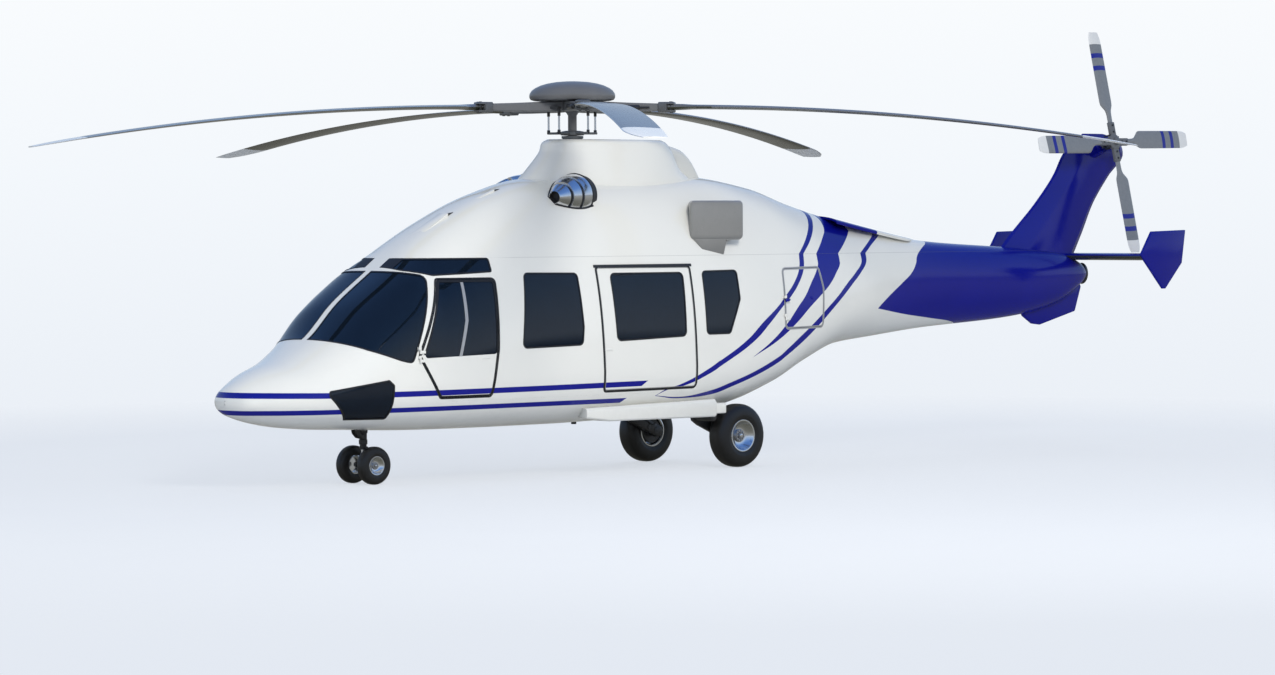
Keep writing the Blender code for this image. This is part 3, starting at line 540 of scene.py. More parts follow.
def fair(piece, angle=35.0):
    """Shade a piece of skin with the true directions of the surface, as a polished mould gives."""
    smooth(piece, angle)
    mesh = piece.data
    inset = piece["inset"]
    points = np.empty(len(mesh.vertices) * 3)
    mesh.vertices.foreach_get("co", points)
    points = points.reshape(-1, 3)
    on_skin = np.abs(depth(points, inset)) < 0.006
    true = outward(points, inset)
    normals = np.zeros((len(mesh.loops), 3))
    for face in mesh.polygons:
        corners = list(face.vertices)
        if on_skin[corners].all() and true[corners].mean(axis=0) @ np.array(face.normal) > 0.8:
            normals[face.loop_start:face.loop_start + face.loop_total] = true[corners]
    mesh.normals_split_custom_set(normals.tolist())
    return piece


def settle(piece, name, body, slot, material, *nodes):
    """Name a finished piece, paint it, let it ride on its body and hide the solids it stands for."""
    piece.name = piece.data.name = name
    piece.data.materials.clear()
    piece.data.materials.append(material)
    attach(piece, body)
    if nodes:
        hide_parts(*nodes)
    return piece


def rounded(outline, grow=0.0, arc=5):
    """A convex outline, whose last number is its corner radius, grown outwards."""
    *corners, radius = outline
    corners = [Vector((x, z + GROUND)) for x, z in corners]
    count = len(corners)
    if sum(corners[k].cross(corners[(k + 1) % count]) for k in range(count)) < 0:
        corners.reverse()
    normals = []
    for k in range(count):
        along = (corners[(k + 1) % count] - corners[k]).normalized()
        normals.append(Vector((along.y, -along.x)))
    points = []
    for k, corner in enumerate(corners):
        out = normals[k - 1] + normals[k]
        out /= out.dot(normals[k - 1])
        centre = corner - out * radius
        start = math.atan2(normals[k - 1].y, normals[k - 1].x)
        turn = (math.atan2(normals[k].y, normals[k].x) - start) % math.tau
        for step in range(arc + 1):
            angle = start + turn * step / arc
            points.append(centre + (radius + grow) * Vector((math.cos(angle), math.sin(angle))))
    return points


def opening(outline, grow=0.0, inner=0.2):
    """A cutter through the port skin with a rounded outline."""
    return prism(rounded(outline, grow), inner, 2.2)


def rect(x_low, x_high, z_low, z_high):
    """A rectangle in x and z, with its heights above the floor."""
    return [(x, z + GROUND) for x, z in ((x_low, z_low), (x_high, z_low), (x_high, z_high), (x_low, z_high))]


print("skin helpers ready")

# %% [markdown]
# ## The paint
# The body is sprayed gloss white and the livery is masked on it: two thin lines along the nose and
# cabin, three blades of colour that sweep up the rear, and a blue tail. A smooth curve gives each
# edge, as a painter's tape would, and it is read from the height above the floor or from the place
# along the body. Orange peel, a faint grain of dust, a patchy darkening towards the bottom and the
# joints between panels keep it from looking flat.

# %% Edges of the livery: (height, x) or (x, height)
SWEEPS = {
    "front": (
        ((3.41, -3.935), (3.291, -3.840), (3.065, -3.608), (2.850, -3.348), (2.659, -3.301),
         (2.457, -3.147), (2.284, -2.945), (2.152, -2.782), (1.935, -2.444), (1.720, -2.140),
         (1.340, -1.375)),
        ((3.40, -4.06), (3.290, -3.960), (3.064, -3.726), (2.850, -3.451), (2.657, -3.404),
         (2.455, -3.257), (2.282, -3.068), (2.150, -2.886), (1.932, -2.604), (1.716, -2.306),
         (1.340, -1.540))),
    "middle": (
        ((3.31, -4.20), (3.175, -4.127), (3.063, -3.996), (2.850, -3.743), (2.722, -3.742),
         (2.613, -3.676), (2.454, -3.532), (2.277, -3.378), (2.144, -3.220), (1.924, -2.972), (1.707, -2.669),
         (1.472, -2.227)),
        ((3.16, -4.74), (3.081, -4.612), (2.850, -4.255), (2.716, -4.249), (2.580, -4.125),
         (2.445, -3.980), (2.271, -3.716), (2.138, -3.499), (1.919, -3.172), (1.704, -2.793),
         (1.472, -2.227))),
    "rear": (
        ((3.125, -5.310), (2.987, -5.016), (2.850, -4.767), (2.734, -4.755), (2.574, -4.568),
         (2.442, -4.372), (2.264, -4.130), (2.130, -3.921), (1.910, -3.568), (1.693, -3.191),
         (1.440, -2.755)),
        ((3.124, -5.502), (2.986, -5.139), (2.850, -4.888), (2.733, -4.864), (2.573, -4.693),
         (2.440, -4.507), (2.261, -4.257), (2.127, -4.058), (1.907, -3.724), (1.689, -3.369),
         (1.440, -2.905))),
}
# The outer sweeps go on forward as a thin feather: its upper and lower edge, as (x, height)
FEATHERS = {
    "front": (((-1.60, 1.452), (-1.406, 1.356), (-0.860, 1.146), (-0.694, 1.112), (-0.495, 1.018)),
              ((-1.60, 1.370), (-1.485, 1.313), (-0.871, 1.113), (-0.701, 1.091), (-0.495, 1.014))),
    "rear": (((-2.95, 1.551), (-2.813, 1.476), (-1.872, 1.154), (-1.399, 1.035), (-0.934, 0.986),
              (-0.495, 1.018)),
             ((-2.95, 1.464), (-2.835, 1.402), (-1.937, 1.104), (-1.491, 0.991), (-0.946, 0.966),
              (-0.495, 1.012))),
}
NOSE_LINE = ((5.60, 1.190), (5.07, 1.183), (4.73, 1.178), (3.88, 1.172), (2.24, 1.175), (-0.25, 1.188))
NOSE_LINE_THICK, LOW_LINE_HEIGHT, LOW_LINE_THICK = 0.070, 0.972, 0.062
TAIL_FRONT = ((3.05, -6.72), (2.97, -6.466), (2.891, -6.228), (2.79, -6.058), (2.698, -6.001),
              (2.558, -5.870), (2.423, -5.653), (2.242, -5.353), (2.071, -5.118), (1.95, -5.00))
TAIL_BELOW = ((-4.9, 2.097), (-5.118, 2.071), (-5.849, 1.974), (-6.412, 1.915), (-7.120, 1.835),
              (-7.60, 1.70))
PAINT_WHITE, PAINT_SHADE = (0.80, 0.795, 0.745, 1), (0.765, 0.76, 0.715, 1)
PAINT_BLUE, PAINT_DEEP_BLUE = (0.004, 0.007, 0.25, 1), (0.003, 0.005, 0.20, 1)
# Painted shade: the dark grey that stands for the shade on the stabilizer's lower side.
PAINTED_UNDERSIDE_SHADE = (0.030, 0.031, 0.027, 1)
DECK = 2.850            # the joint between the cabin and the cowlings
SWEEP_FOOT = {"front": 1.34, "middle": 1.474, "rear": 1.44}
FEATHER_END = -0.497    # where the two outer sweeps run out in a point
LINE_SLANT, NOSE_LINE_END, LOW_LINE_END = 1.5, 1.532, 1.510


def between(value, low, high):
    """1 between two wires or numbers, with soft edges."""
    return (value - low).edge() * (high - value).edge()


def livery(x, height):
    """1 where the body is blue."""
    sweeps = 0.0
    for name, (fore, aft) in SWEEPS.items():
        band = between(x, height.follow(aft, DECK), height.follow(fore, DECK))
        band = band * (height - SWEEP_FOOT[name]).edge()
        if name in FEATHERS:
            top, bottom = FEATHERS[name]
            bend = top[0][0] + 0.005
            low_band = between(height, x.follow(bottom), x.follow(top)) * between(x, bend, FEATHER_END)
            band = band * (bend - x).edge() + low_band
        sweeps = band + sweeps
    slant = x + height * LINE_SLANT
    high_line, low_line = abs(height - x.follow(NOSE_LINE)), abs(height - LOW_LINE_HEIGHT)
    lines = ((NOSE_LINE_THICK / 2 - high_line).edge() * (slant - NOSE_LINE_END).edge()
             + (LOW_LINE_THICK / 2 - low_line).edge() * (slant - LOW_LINE_END).edge())
    tail = (height.follow(TAIL_FRONT) - x).edge() * (height - x.follow(TAIL_BELOW)).edge()
    return (sweeps + lines).most(tail).least(1.0)


def gloss_paint(name, masked, light=PAINT_WHITE, dark=PAINT_SHADE, joint=0.0):
    """Light paint, blue where the mask is 1. The mask reads x and the height above the floor."""
    material, place = new_finish(name)
    x, y, z = split(place)
    height = z - GROUND
    peel = noise(place, 90.0, 2.0)
    cloud = noise(place, 1.7, 4.0, 0.6)
    dust = noise(place, 14.0, 6.0, 0.7)
    mask = place.maths("MULTIPLY", masked(x, height), 1.0)
    pale = (cloud * 0.8 + dust * 0.2).mix(dark, light)
    blue = cloud.mix(PAINT_DEEP_BLUE, PAINT_BLUE)
    colour = mask.mix(pale, blue)
    seam = (0.004 - abs(height - DECK)).edge(0.004) * (2.0 - x).edge(0.3)
    # Darker towards the bottom: below about 1.1 m the colour is mixed toward dark grey, in patches that
    # follow the dust grain.
    darker_towards_bottom = (1.1 - height).edge(0.5) * dust * 0.12
    colour = (seam * joint + darker_towards_bottom).mix(colour, (0.10, 0.10, 0.10, 1))
    return surface(material, place, Base_Color=colour, Roughness=dust * 0.10 + 0.12, IOR=1.42,
                   Coat_Weight=0.55 - mask * 0.50, Coat_Roughness=0.04,
                   Normal=bump(peel * 0.6 + cloud * 1.2, 0.05, 0.002))


WHITE = gloss_paint("gloss_white_with_livery", livery, joint=0.22)
BLUE = gloss_paint("gloss_blue", lambda x, height: 1.0)
PLATE_PAINT = gloss_paint("gloss_white_plate", lambda x, height: between(x, -5.26, -4.20))
# Painted shade: the stabilizer is blue above its top line and dark grey below it, which stands for the shade
# on its lower side.
STABILIZER_PAINT = gloss_paint("blue_over_painted_shade", lambda x, height: (height - 2.772).edge(0.01),
                               PAINTED_UNDERSIDE_SHADE, PAINTED_UNDERSIDE_SHADE)
print("paint ready,", len(WHITE.node_tree.nodes), "nodes")

# %% [markdown]
# ## Glass, rubber, metal and cloth
# The panes are tinted almost black, so they mirror the sky and show only a trace of the cabin.
# Rubber seals are matt with a fine grain. Bare and painted metals differ in how blurred their
# reflection is, and wear shows as roughness more than as colour.

# %% Other finishes
def tinted_glass():
    material, place = new_finish("tinted_glass")
    haze = noise(place, 5.0, 5.0, 0.65)
    return surface(material, place, Base_Color=haze.mix((0.003, 0.007, 0.014, 1), (0.005, 0.010, 0.020, 1)),
                   Roughness=haze * 0.03 + 0.02, IOR=1.5, Alpha=haze * 0.02 + 0.92)


def plain_finish(name, colour, other, grain, roughness, spread, metallic=0.0, relief=0.1, coat=0.0):
    """A finish whose colour and roughness both drift with a fine and a coarse grain."""
    material, place = new_finish(name)
    fine, coarse = noise(place, grain, 4.0, 0.6), noise(place, grain / 12, 3.0, 0.5)
    return surface(material, place, Base_Color=(fine * 0.4 + coarse * 0.6).mix(colour, other),
                   Roughness=coarse * spread + fine * spread + (roughness - spread), Metallic=metallic,
                   Coat_Weight=coat, Coat_Roughness=0.1, Normal=bump(fine, relief, 0.001))


GLASS = tinted_glass()
RUBBER = plain_finish("black_rubber", (0.010, 0.010, 0.011, 1), (0.018, 0.018, 0.019, 1), 160, 0.55, 0.12)
TYRE = plain_finish("tyre_rubber", (0.006, 0.006, 0.007, 1), (0.014, 0.0135, 0.013, 1),
                    120, 0.42, 0.10, relief=0.12)
ROTOR_GREY = plain_finish("satin_rotor_grey", (0.11, 0.113, 0.118, 1), (0.15, 0.153, 0.158, 1),
                          60, 0.34, 0.08)
EXHAUST_GREY = plain_finish("satin_heat_shield_grey", (0.19, 0.19, 0.185, 1), (0.26, 0.26, 0.25, 1),
                            40, 0.30, 0.08, coat=0.2)
CHROME = plain_finish("polished_metal", (0.72, 0.74, 0.77, 1), (0.82, 0.83, 0.85, 1),
                      30, 0.19, 0.03, 1.0, 0.02)
BLACK_METAL = plain_finish("black_painted_metal", (0.010, 0.010, 0.011, 1), (0.030, 0.030, 0.031, 1),
                           70, 0.36, 0.1, coat=0.1)
BLACK_PLASTIC = plain_finish("black_plastic", (0.012, 0.012, 0.013, 1), (0.022, 0.022, 0.023, 1),
                             200, 0.5, 0.08)
STEEL = plain_finish("bare_steel", (0.32, 0.32, 0.33, 1), (0.42, 0.42, 0.43, 1), 50, 0.34, 0.08, 1.0)
HATCH_GREY = plain_finish("light_grey_metal", (0.34, 0.345, 0.35, 1), (0.44, 0.445, 0.45, 1),
                          50, 0.32, 0.06, 0.3)
ROTOR_DARK = plain_finish("dark_swashplate_metal", (0.10, 0.105, 0.11, 1), (0.17, 0.175, 0.18, 1),
                          60, 0.34, 0.08, 0.5)
SOOT = plain_finish("sooty_steel", (0.02, 0.02, 0.02, 1), (0.06, 0.055, 0.05, 1), 30, 0.55, 0.1, 0.6)
CARPET = plain_finish("dark_carpet", (0.030, 0.032, 0.036, 1), (0.055, 0.058, 0.064, 1),
                      320, 0.85, 0.06, relief=0.6)


THREAD_WAVES, SCALE_WAVES, HORIZON = 1400.0, 500.0, 1.53


def woven_cloth():
    """Threads that pass over and under, as a weave of sine waves."""
    material, place = new_finish("woven_seat_cloth")
    threads = [(axis * THREAD_WAVES).maths("SINE", axis * THREAD_WAVES) for axis in split(place)]
    weave = threads[0] * threads[1] + threads[1] * threads[2]
    wear = noise(place, 9.0, 4.0, 0.6)
    colour = (weave * 0.15 + wear).mix((0.045, 0.050, 0.060, 1), (0.085, 0.090, 0.105, 1))
    return surface(material, place, Base_Color=colour, Roughness=wear * 0.1 + 0.8, Sheen_Weight=0.2,
                   Normal=bump(weave, 0.15, 0.0004))


def lit_screen():
    """A dark screen with a faint horizon and scales."""
    material, place = new_finish("display_screen")
    x, y, z = split(place)
    sky = (z - (HORIZON + GROUND)).edge(0.004)
    ticks = ((z * SCALE_WAVES).maths("SINE", z * SCALE_WAVES) - 0.9).edge(0.1)
    picture = sky.mix((0.10, 0.05, 0.02, 1), (0.02, 0.07, 0.18, 1))
    picture = (ticks * 0.5).mix(picture, (0.3, 0.34, 0.3, 1))
    return surface(material, place, Base_Color=(0.004, 0.005, 0.007, 1),
                   Roughness=noise(place, 8.0) * 0.05 + 0.05, Emission_Color=picture,
                   Emission_Strength=0.25, Coat_Weight=0.5)


CLOTH, SCREEN = woven_cloth(), lit_screen()
LINING = plain_finish("cabin_lining", (0.20, 0.20, 0.19, 1), (0.25, 0.25, 0.24, 1), 80, 0.7, 0.08)
print("finishes:", len(bpy.data.materials))

# %% [markdown]
# ## Panels of the body
# Each panel is trimmed from its own slab: first the block that keeps its part of the surface, then
# the openings for windows and doors. A piece that spans the middle is made as one half, opened at
# the plane of symmetry and mirrored.

# %% Openings of the port side: corners in x and height, and the corner radius
WINDOW_FRONT = ((1.75, 2.650), (0.87, 2.640), (0.815, 1.95), (0.84, 1.715), (1.86, 1.695), 0.065)
WINDOW_REAR = ((-1.33, 2.640), (-1.985, 2.648), (-2.012, 2.260), (-1.80, 1.805), (-1.355, 1.803), 0.060)
CABIN_DOOR = ((0.545, 2.718), (-1.115, 2.712), (-1.18, 1.107), (0.455, 1.100), 0.050)
CABIN_DOOR_WINDOW = ((0.310, 2.630), (-0.980, 2.628), (-0.980, 1.790), (0.243, 1.752), 0.070)
CREW_DOOR = ((3.055, 2.585), (2.225, 2.585), (2.262, 1.700), (2.360, 1.108), (3.180, 1.108), (3.515, 1.640),
             0.050)
CREW_WINDOW = ((3.030, 2.555), (2.250, 2.555), (2.290, 1.638), (3.445, 1.608), 0.040)
HATCH = ((-2.925, 2.655), (-3.725, 2.668), (-3.800, 2.380), (-3.765, 1.853), (-2.925, 1.843), 0.060)
CHIN = ((4.735, 1.228), (3.950, 1.348), (3.880, 1.285), (3.885, 0.862), (4.440, 0.868), (4.735, 1.165), 0.020)
WINDSHIELD = ((4.95, 2.690), (3.47, 2.690), (3.170, 2.630), (3.610, 1.552), (3.770, 1.586), (4.182, 1.724),
              (4.460, 1.848), (4.95, 2.070), 0.060)
ROOF_WINDOW = ((3.415, 2.712), (3.215, 2.843), (2.240, 2.843), (2.240, 2.672), (3.070, 2.634), 0.025)
POST_HALF, ROOF_WINDOW_INNER = 0.060, 0.155
HOOD_SLOPE = 0.366
DOOR_GAP, HAIR, SKIN_INSIDE = 0.006, 0.0003, 0.066
X_NOSE, X_FRAME, X_CABIN, X_BOOM, SILL = 3.020, 2.200, -2.400, -5.200, 1.060
NOSE_WHEEL = {"x": 3.542, "y": 0.213, "radius": 0.241, "width": 0.150, "rim": 0.117}
MAIN_WHEEL = {"x": -2.118, "y": 0.899, "radius": 0.426, "width": 0.300, "rim": 0.210}


def hood(x):
    """The plane of the windshield's lower edge, above the floor."""
    return 1.800 + HOOD_SLOPE * (x - 4.440)


def convex(points):
    """The hull round some points, as one closed block."""
    bpy.ops.object.select_all(action="DESELECT")
    bpy.ops.mesh.primitive_circle_add(vertices=len(points), radius=1, fill_type="NOTHING")
    piece = bpy.context.object
    for vertex, point in zip(piece.data.vertices, points):
        vertex.co = point
    edit(piece)
    bpy.ops.mesh.convex_hull()
    return done()


def windshield_block(grow=0.0):
    """The cutter of a windshield half, which leaves the centre post."""
    return opening(WINDSHIELD, grow, POST_HALF - grow)


def roof_block(grow=0.0):
    return opening(ROOF_WINDOW, grow, ROOF_WINDOW_INNER - grow)


def panel(front, rear, outline, *openings, **slab_settings):
    """A piece of the port skin: a slab trimmed to an outline, with openings cut in it."""
    piece = slab(front, rear, **slab_settings)
    carve(piece, prism(outline, -0.5, 3.0), "INTERSECT")
    for tool in openings:
        carve(piece, tool)
    return piece


def both(piece, name, slot, material, node=None, bodies=AIRFRAME):
    """The port piece and its starboard twin, each on its body."""
    twin = copy_of(piece, FLIP_Y)
    made = []
    for shape, (word, side), body in zip((piece, twin), SIDES, bodies):
        if "inset" in shape:
            fair(shape)
        nodes = [f"{node}_{word}"] if node else []
        made.append(settle(shape, f"{name}_{word}", body, slot, material, *nodes))
    return made


# %% Nose, belly and cockpit frame
def hood_corner(x, lift=0.0):
    return (x, hood(x) + lift + GROUND)


nose = panel(NOSE_X, X_NOSE - 0.1,
             [hood_corner(5.9, -HAIR), (5.9, -0.5), (X_NOSE + HAIR, -0.5), hood_corner(X_NOSE, -HAIR)],
             opening(CHIN), opening(CREW_DOOR), step=0.06)
leg_x = NOSE_WHEEL["x"]
carve(nose, box((leg_x - 0.14, -1, -0.5), (leg_x + 0.14, 0.11, 0.5)))
settle(fair(whole(nose)), "nose_shell", "airframe", "paint", WHITE, "nose_section")

belly = panel(X_NOSE + 0.1, X_CABIN - 0.1, rect(X_CABIN + HAIR, X_NOSE, 0.2, SILL - HAIR), high=0.45)
wheel_x, wheel_z = MAIN_WHEEL["x"], MAIN_WHEEL["radius"] + GROUND
carve(belly, rod((wheel_x, 0.64, wheel_z), (wheel_x, 1.5, wheel_z), 0.476, sides=64))
settle(fair(whole(belly)), "belly_shell", "airframe", "paint", WHITE, "belly_hull")

cockpit = slab(4.9, X_FRAME - 0.1, step=0.06)
low_z, high_z, x_rear = SILL + GROUND, DECK - HAIR + GROUND, X_FRAME + HAIR
keep_low = prism([hood_corner(X_NOSE), (X_NOSE, low_z), (x_rear, low_z), (x_rear, high_z), (X_NOSE, high_z)],
                 -0.5, 3.0)
keep_high = prism([hood_corner(4.9), hood_corner(X_NOSE), (X_NOSE, high_z), (4.9, high_z)], -0.5, 3.0)
carve(cockpit, carve(keep_low, keep_high, "UNION"), "INTERSECT")
for tool in (windshield_block(), roof_block(), opening(CREW_DOOR)):
    carve(cockpit, tool)
settle(fair(whole(cockpit)), "cockpit_shell", "airframe", "paint", WHITE, "cockpit_frame")
print("nose, belly and cockpit frame:", sum(len(p.data.polygons) for p in (nose, belly, cockpit)), "faces")

# %% Cabin sides, rear body, cowlings and tail boom
cabin = panel(X_FRAME + 0.1, X_CABIN - 0.1, rect(X_CABIN + HAIR, X_FRAME, SILL, DECK - HAIR),
              opening(WINDOW_FRONT), opening(CABIN_DOOR), opening(WINDOW_REAR), low=0.1, high=0.75)
both(cabin, "cabin_wall", "paint", WHITE, "cabin_side")
rear = panel(X_CABIN + 0.1, X_BOOM - 0.1, rect(X_BOOM + HAIR, X_CABIN, 0.2, DECK - HAIR), opening(HATCH))
settle(fair(whole(rear)), "rear_shell", "airframe", "paint", WHITE, "rear_fuselage")
cowl = panel(3.6, X_CABIN - 0.1, rect(X_CABIN + HAIR, 3.9, DECK, 5.0), wall=0.040, low=0.4)
settle(fair(whole(cowl)), "engine_cowling_shell", "airframe", "paint", WHITE, "engine_cowling")
aft = panel(X_CABIN + 0.1, X_BOOM - 0.1, rect(X_BOOM + HAIR, X_CABIN, DECK, 5.0), wall=0.040, low=0.4)
settle(fair(whole(aft)), "aft_cowling_shell", "airframe", "paint", WHITE)
boom = slab(X_BOOM, -10.21, wall=0.030, step=0.09)
settle(fair(whole(boom)), "tail_boom_shell", "airframe", "paint", WHITE, "tail_boom")
CAP_CENTRE, CAP_LONG, CAP_WIDE, CAP_TALL = (-10.120, 2.50), 0.100, 0.095, 0.160
around = np.linspace(0, math.tau, 24, endpoint=False)
cap_rings = [[(CAP_CENTRE[0] - CAP_LONG * math.cos(t), CAP_WIDE * math.sin(t) * math.cos(a),
               CAP_CENTRE[1] + CAP_TALL * math.sin(t) * math.sin(a)) for a in around]
             for t in np.linspace(0, math.pi, 16)]
settle(smooth(grounded(lofted(cap_rings)), 60), "boom_end_cap", "airframe", "black_metal", BLACK_METAL)
print("cabin, rear body, cowlings and boom made")

# %% Doors, hatches and panes
crew_leaf = panel(3.7, 2.1, rounded(CREW_DOOR, -DOOR_GAP), opening(CREW_WINDOW), step=0.06, low=0.1,
                  high=0.75)
both(crew_leaf, "crew_door_leaf", "paint", WHITE, "crew_door", CREW)
cabin_leaf = panel(0.7, -1.3, rounded(CABIN_DOOR, -HAIR), opening(CABIN_DOOR_WINDOW), low=0.1, high=0.75)
both(cabin_leaf, "cabin_door_leaf", "paint", WHITE, "cabin_door")
hatch_leaf = panel(-2.8, -3.8, rounded(HATCH, -DOOR_GAP), low=0.1, high=0.8)
both(hatch_leaf, "baggage_hatch_leaf", "paint", WHITE, "baggage_hatch", HATCHES)


def pane(front, rear, tool, step=0.05):
    """A thin slab just inside the skin, trimmed to its opening."""
    return carve(slab(front, rear, inset=0.004, wall=0.012, step=step), tool, "INTERSECT")


PANES = (
    ("windshield", 4.9, 2.9, lambda: windshield_block(-HAIR)),
    ("roof_window", 3.9, 2.2, lambda: roof_block(-HAIR)),
    ("chin_window", 4.8, 3.8, lambda: opening(CHIN, -HAIR)),
    ("crew_door_glass", 3.6, 2.2, lambda: opening(CREW_WINDOW, -HAIR)),
    ("cabin_window_front", 2.0, 0.7, lambda: opening(WINDOW_FRONT, -HAIR)),
    ("cabin_door_glass", 0.4, -1.1, lambda: opening(CABIN_DOOR_WINDOW, -HAIR)),
    ("cabin_window_rear", -1.3, -2.1, lambda: opening(WINDOW_REAR, -HAIR)))
for name, front, back, tool in PANES:
    both(pane(front, back, tool()), name + "_pane", "tinted_glass", GLASS, name,
         CREW if name == "crew_door_glass" else AIRFRAME)
print("doors and", 2 * len(PANES), "panes made")

# %% [markdown]
# ## Seals, rails and hinges
# The panes sit in black rubber strips that stand a few millimetres proud of the skin, and the crew
# doors are outlined by a wide black gasket, half on the door and half on the frame. Each strip is a
# thin slab of skin between two outlines. The cabin doors slide aft, so they hang from a top rail.

# %% Rubber seals, gaskets, hatch frames and the door rail
PROUD, SEAL_OUT, SEAL_IN = -0.003, 0.007, 0.013


def strip(front, rear, outer, inner, keep=None, step=0.06, proud=PROUD, **limits):
    """A flat band on the skin between two closed shapes."""
    piece = slab(front, rear, inset=proud, wall=0.012, step=step, **limits)
    carve(piece, outer, "INTERSECT")
    carve(piece, inner)
    return carve(piece, keep, "INTERSECT") if keep else piece


def outline_strip(outline, outer, inner, keep=None, **settings):
    """A band along an outline, between two distances from it."""
    xs = [x for x, z in outline[:-1]]
    return strip(max(xs) + 0.15, min(xs) - 0.15, opening(outline, outer), opening(outline, inner),
                 keep, **settings)


def over(height):
    """All that lies above a height."""
    return prism(rect(-8, 8, height, 4.0), 0.0, 3.0)


both(strip(4.9, 2.9, windshield_block(SEAL_OUT), windshield_block(-SEAL_IN)), "windshield_seal",
     "black_metal", RUBBER)
both(strip(3.9, 2.1, roof_block(SEAL_OUT), roof_block(-SEAL_IN)), "roof_window_seal", "black_metal", RUBBER)
for name, outline in (("chin_seal", CHIN), ("cabin_window_front_seal", WINDOW_FRONT),
                      ("cabin_door_window_seal", CABIN_DOOR_WINDOW), ("cabin_window_rear_seal", WINDOW_REAR)):
    both(outline_strip(outline, SEAL_OUT, -SEAL_IN), name, "black_metal", RUBBER)
both(outline_strip(CREW_DOOR, -DOOR_GAP, -0.024), "crew_door_gasket", "black_metal", RUBBER, bodies=CREW)
both(outline_strip(CREW_DOOR, 0.018, 0.0), "crew_frame_gasket", "black_metal", RUBBER)
both(outline_strip(CREW_WINDOW, 0.020, -0.008, over(1.650)), "crew_window_gasket", "black_metal",
     RUBBER, bodies=CREW)
both(outline_strip(CABIN_DOOR, 0.014, -0.014), "cabin_door_gasket", "black_metal", RUBBER)
# Painted highlight: a grey band just inside the black gasket stands for the light that the door's rounded
# edge reflects.
both(outline_strip(CABIN_DOOR, -0.016, -0.024), "cabin_door_edge_painted_highlight", "paint", EXHAUST_GREY)
both(outline_strip(HATCH, 0.016, 0.0), "hatch_frame_edge", "exhaust_grey", HATCH_GREY)
both(outline_strip(HATCH, -DOOR_GAP, -0.020), "hatch_edge", "exhaust_grey", HATCH_GREY, bodies=HATCHES)

door_ends = (CABIN_DOOR[1][0] - 0.03, CABIN_DOOR[0][0] + 0.03)
rail = slab(0.7, -1.3, inset=-0.014, wall=0.030, low=0.5, high=0.75)
carve(rail, prism(rect(*door_ends, 2.706, 2.742), 0.2, 2.2), "INTERSECT")
both(rail, "cabin_door_rail", "black_metal", BLACK_METAL)

DIVIDER = ((2.733, 2.562), (2.696, 2.562), (2.718, 2.067), (2.850, 1.620), (2.894, 1.620), (2.764, 2.067))
divider = slab(3.0, 2.5, inset=-0.001, wall=0.010, low=0.3, high=0.75)
carve(divider, grounded(prism(DIVIDER, 0.2, 2.2)), "INTERSECT")
both(divider, "crew_window_divider", "paint", HATCH_GREY, bodies=CREW)
print("seals made")

# %% Hinges and handles
CREW_PIN, CREW_KNUCKLES = (3.515, 1.130), (1.600, 1.710)
HATCH_PIN, HATCH_KNUCKLES = (-2.918, 1.045), (2.000, 2.250)
PIN_RADIUS = 0.011
for knuckle_name, (x, y), heights, bodies in (("crew_door_knuckles", CREW_PIN, CREW_KNUCKLES, CREW),
                                              ("hatch_knuckles", HATCH_PIN, HATCH_KNUCKLES, HATCHES)):
    leaf_parts, frame_parts = [], []
    for height in heights:
        z = height + GROUND
        leaf_parts += [rod((x, y, z - 0.045), (x, y, z), PIN_RADIUS, bevel=0.002),
                       box((x - 0.080, y - 0.020, z - 0.040), (x, y + 0.003, z - 0.004), bevel=0.002),
                       box((x - 0.080, y - 0.075, z - 0.040), (x - 0.050, y - 0.010, z - 0.004), bevel=0.002)]
        frame_parts += [rod((x, y, z + HAIR), (x, y, z + 0.045), PIN_RADIUS, bevel=0.002),
                        box((x, y - 0.020, z + 0.004), (x + 0.026, y + 0.003, z + 0.040), bevel=0.002),
                        box((x + 0.006, y - 0.080, z + 0.004), (x + 0.026, y - 0.010, z + 0.040),
                            bevel=0.002)]
    both(smooth(join(*leaf_parts)), knuckle_name + "_leaf", "paint", WHITE, bodies=bodies)
    both(smooth(join(*frame_parts)), knuckle_name + "_frame", "paint", WHITE)


def on_skin(x, height, proud=0.0):
    """The point of the port skin at a place along x and a height above the floor."""
    half, keel, widest, top, low, high = section(x)
    z = height + GROUND
    reach, power = (top - widest, high) if z > widest else (widest - keel, low)
    y = float(half * (1 - min(1, abs(z - widest) / reach) ** power) ** (1 / power))
    return Vector((x, y + proud, z))


def handle(name, x, height, length, bodies=AIRFRAME):
    """A flush pull handle: a shallow plate in the skin with a bar across it."""
    place = on_skin(x, height)
    cup = box((place.x - length / 2, place.y - 0.012, place.z - 0.022),
              (place.x + length / 2, place.y + 0.002, place.z + 0.022), bevel=0.006)
    both(smooth(cup), name + "_cup", "paint", WHITE, bodies=bodies)
    bar = box((place.x - length * 0.42, place.y - 0.004, place.z - 0.007),
              (place.x + length * 0.42, place.y + 0.007, place.z + 0.007), bevel=0.005)
    both(smooth(bar), name + "_bar", "paint", WHITE, bodies=bodies)


handle("crew_door_handle", 2.47, 1.590, 0.13, CREW)
handle("cabin_door_handle", 0.40, 1.640, 0.15)
handle("hatch_handle", -3.50, 2.250, 0.09, HATCHES)
print("hinges and handles made")

# %% [markdown]
# ## Baggage bay
# The hatches open on a bay with a carpeted floor. Its two bulkheads follow the skin and a partition
# stands in the middle. Without it one would look through the empty body when both hatches are open.

# %% The baggage bay behind the hatches
def bulkhead(x, low, high):
    """A plate across the body, up to the inner face of its skin."""
    side = [(on_skin(x, h, -SKIN_INSIDE).y, h + GROUND) for h in np.linspace(low, high, 9)]
    outline = side + [(-y, z) for y, z in side[::-1]]
    return lofted([[(place, y, z) for y, z in outline] for place in (x + 0.008, x - 0.008)])


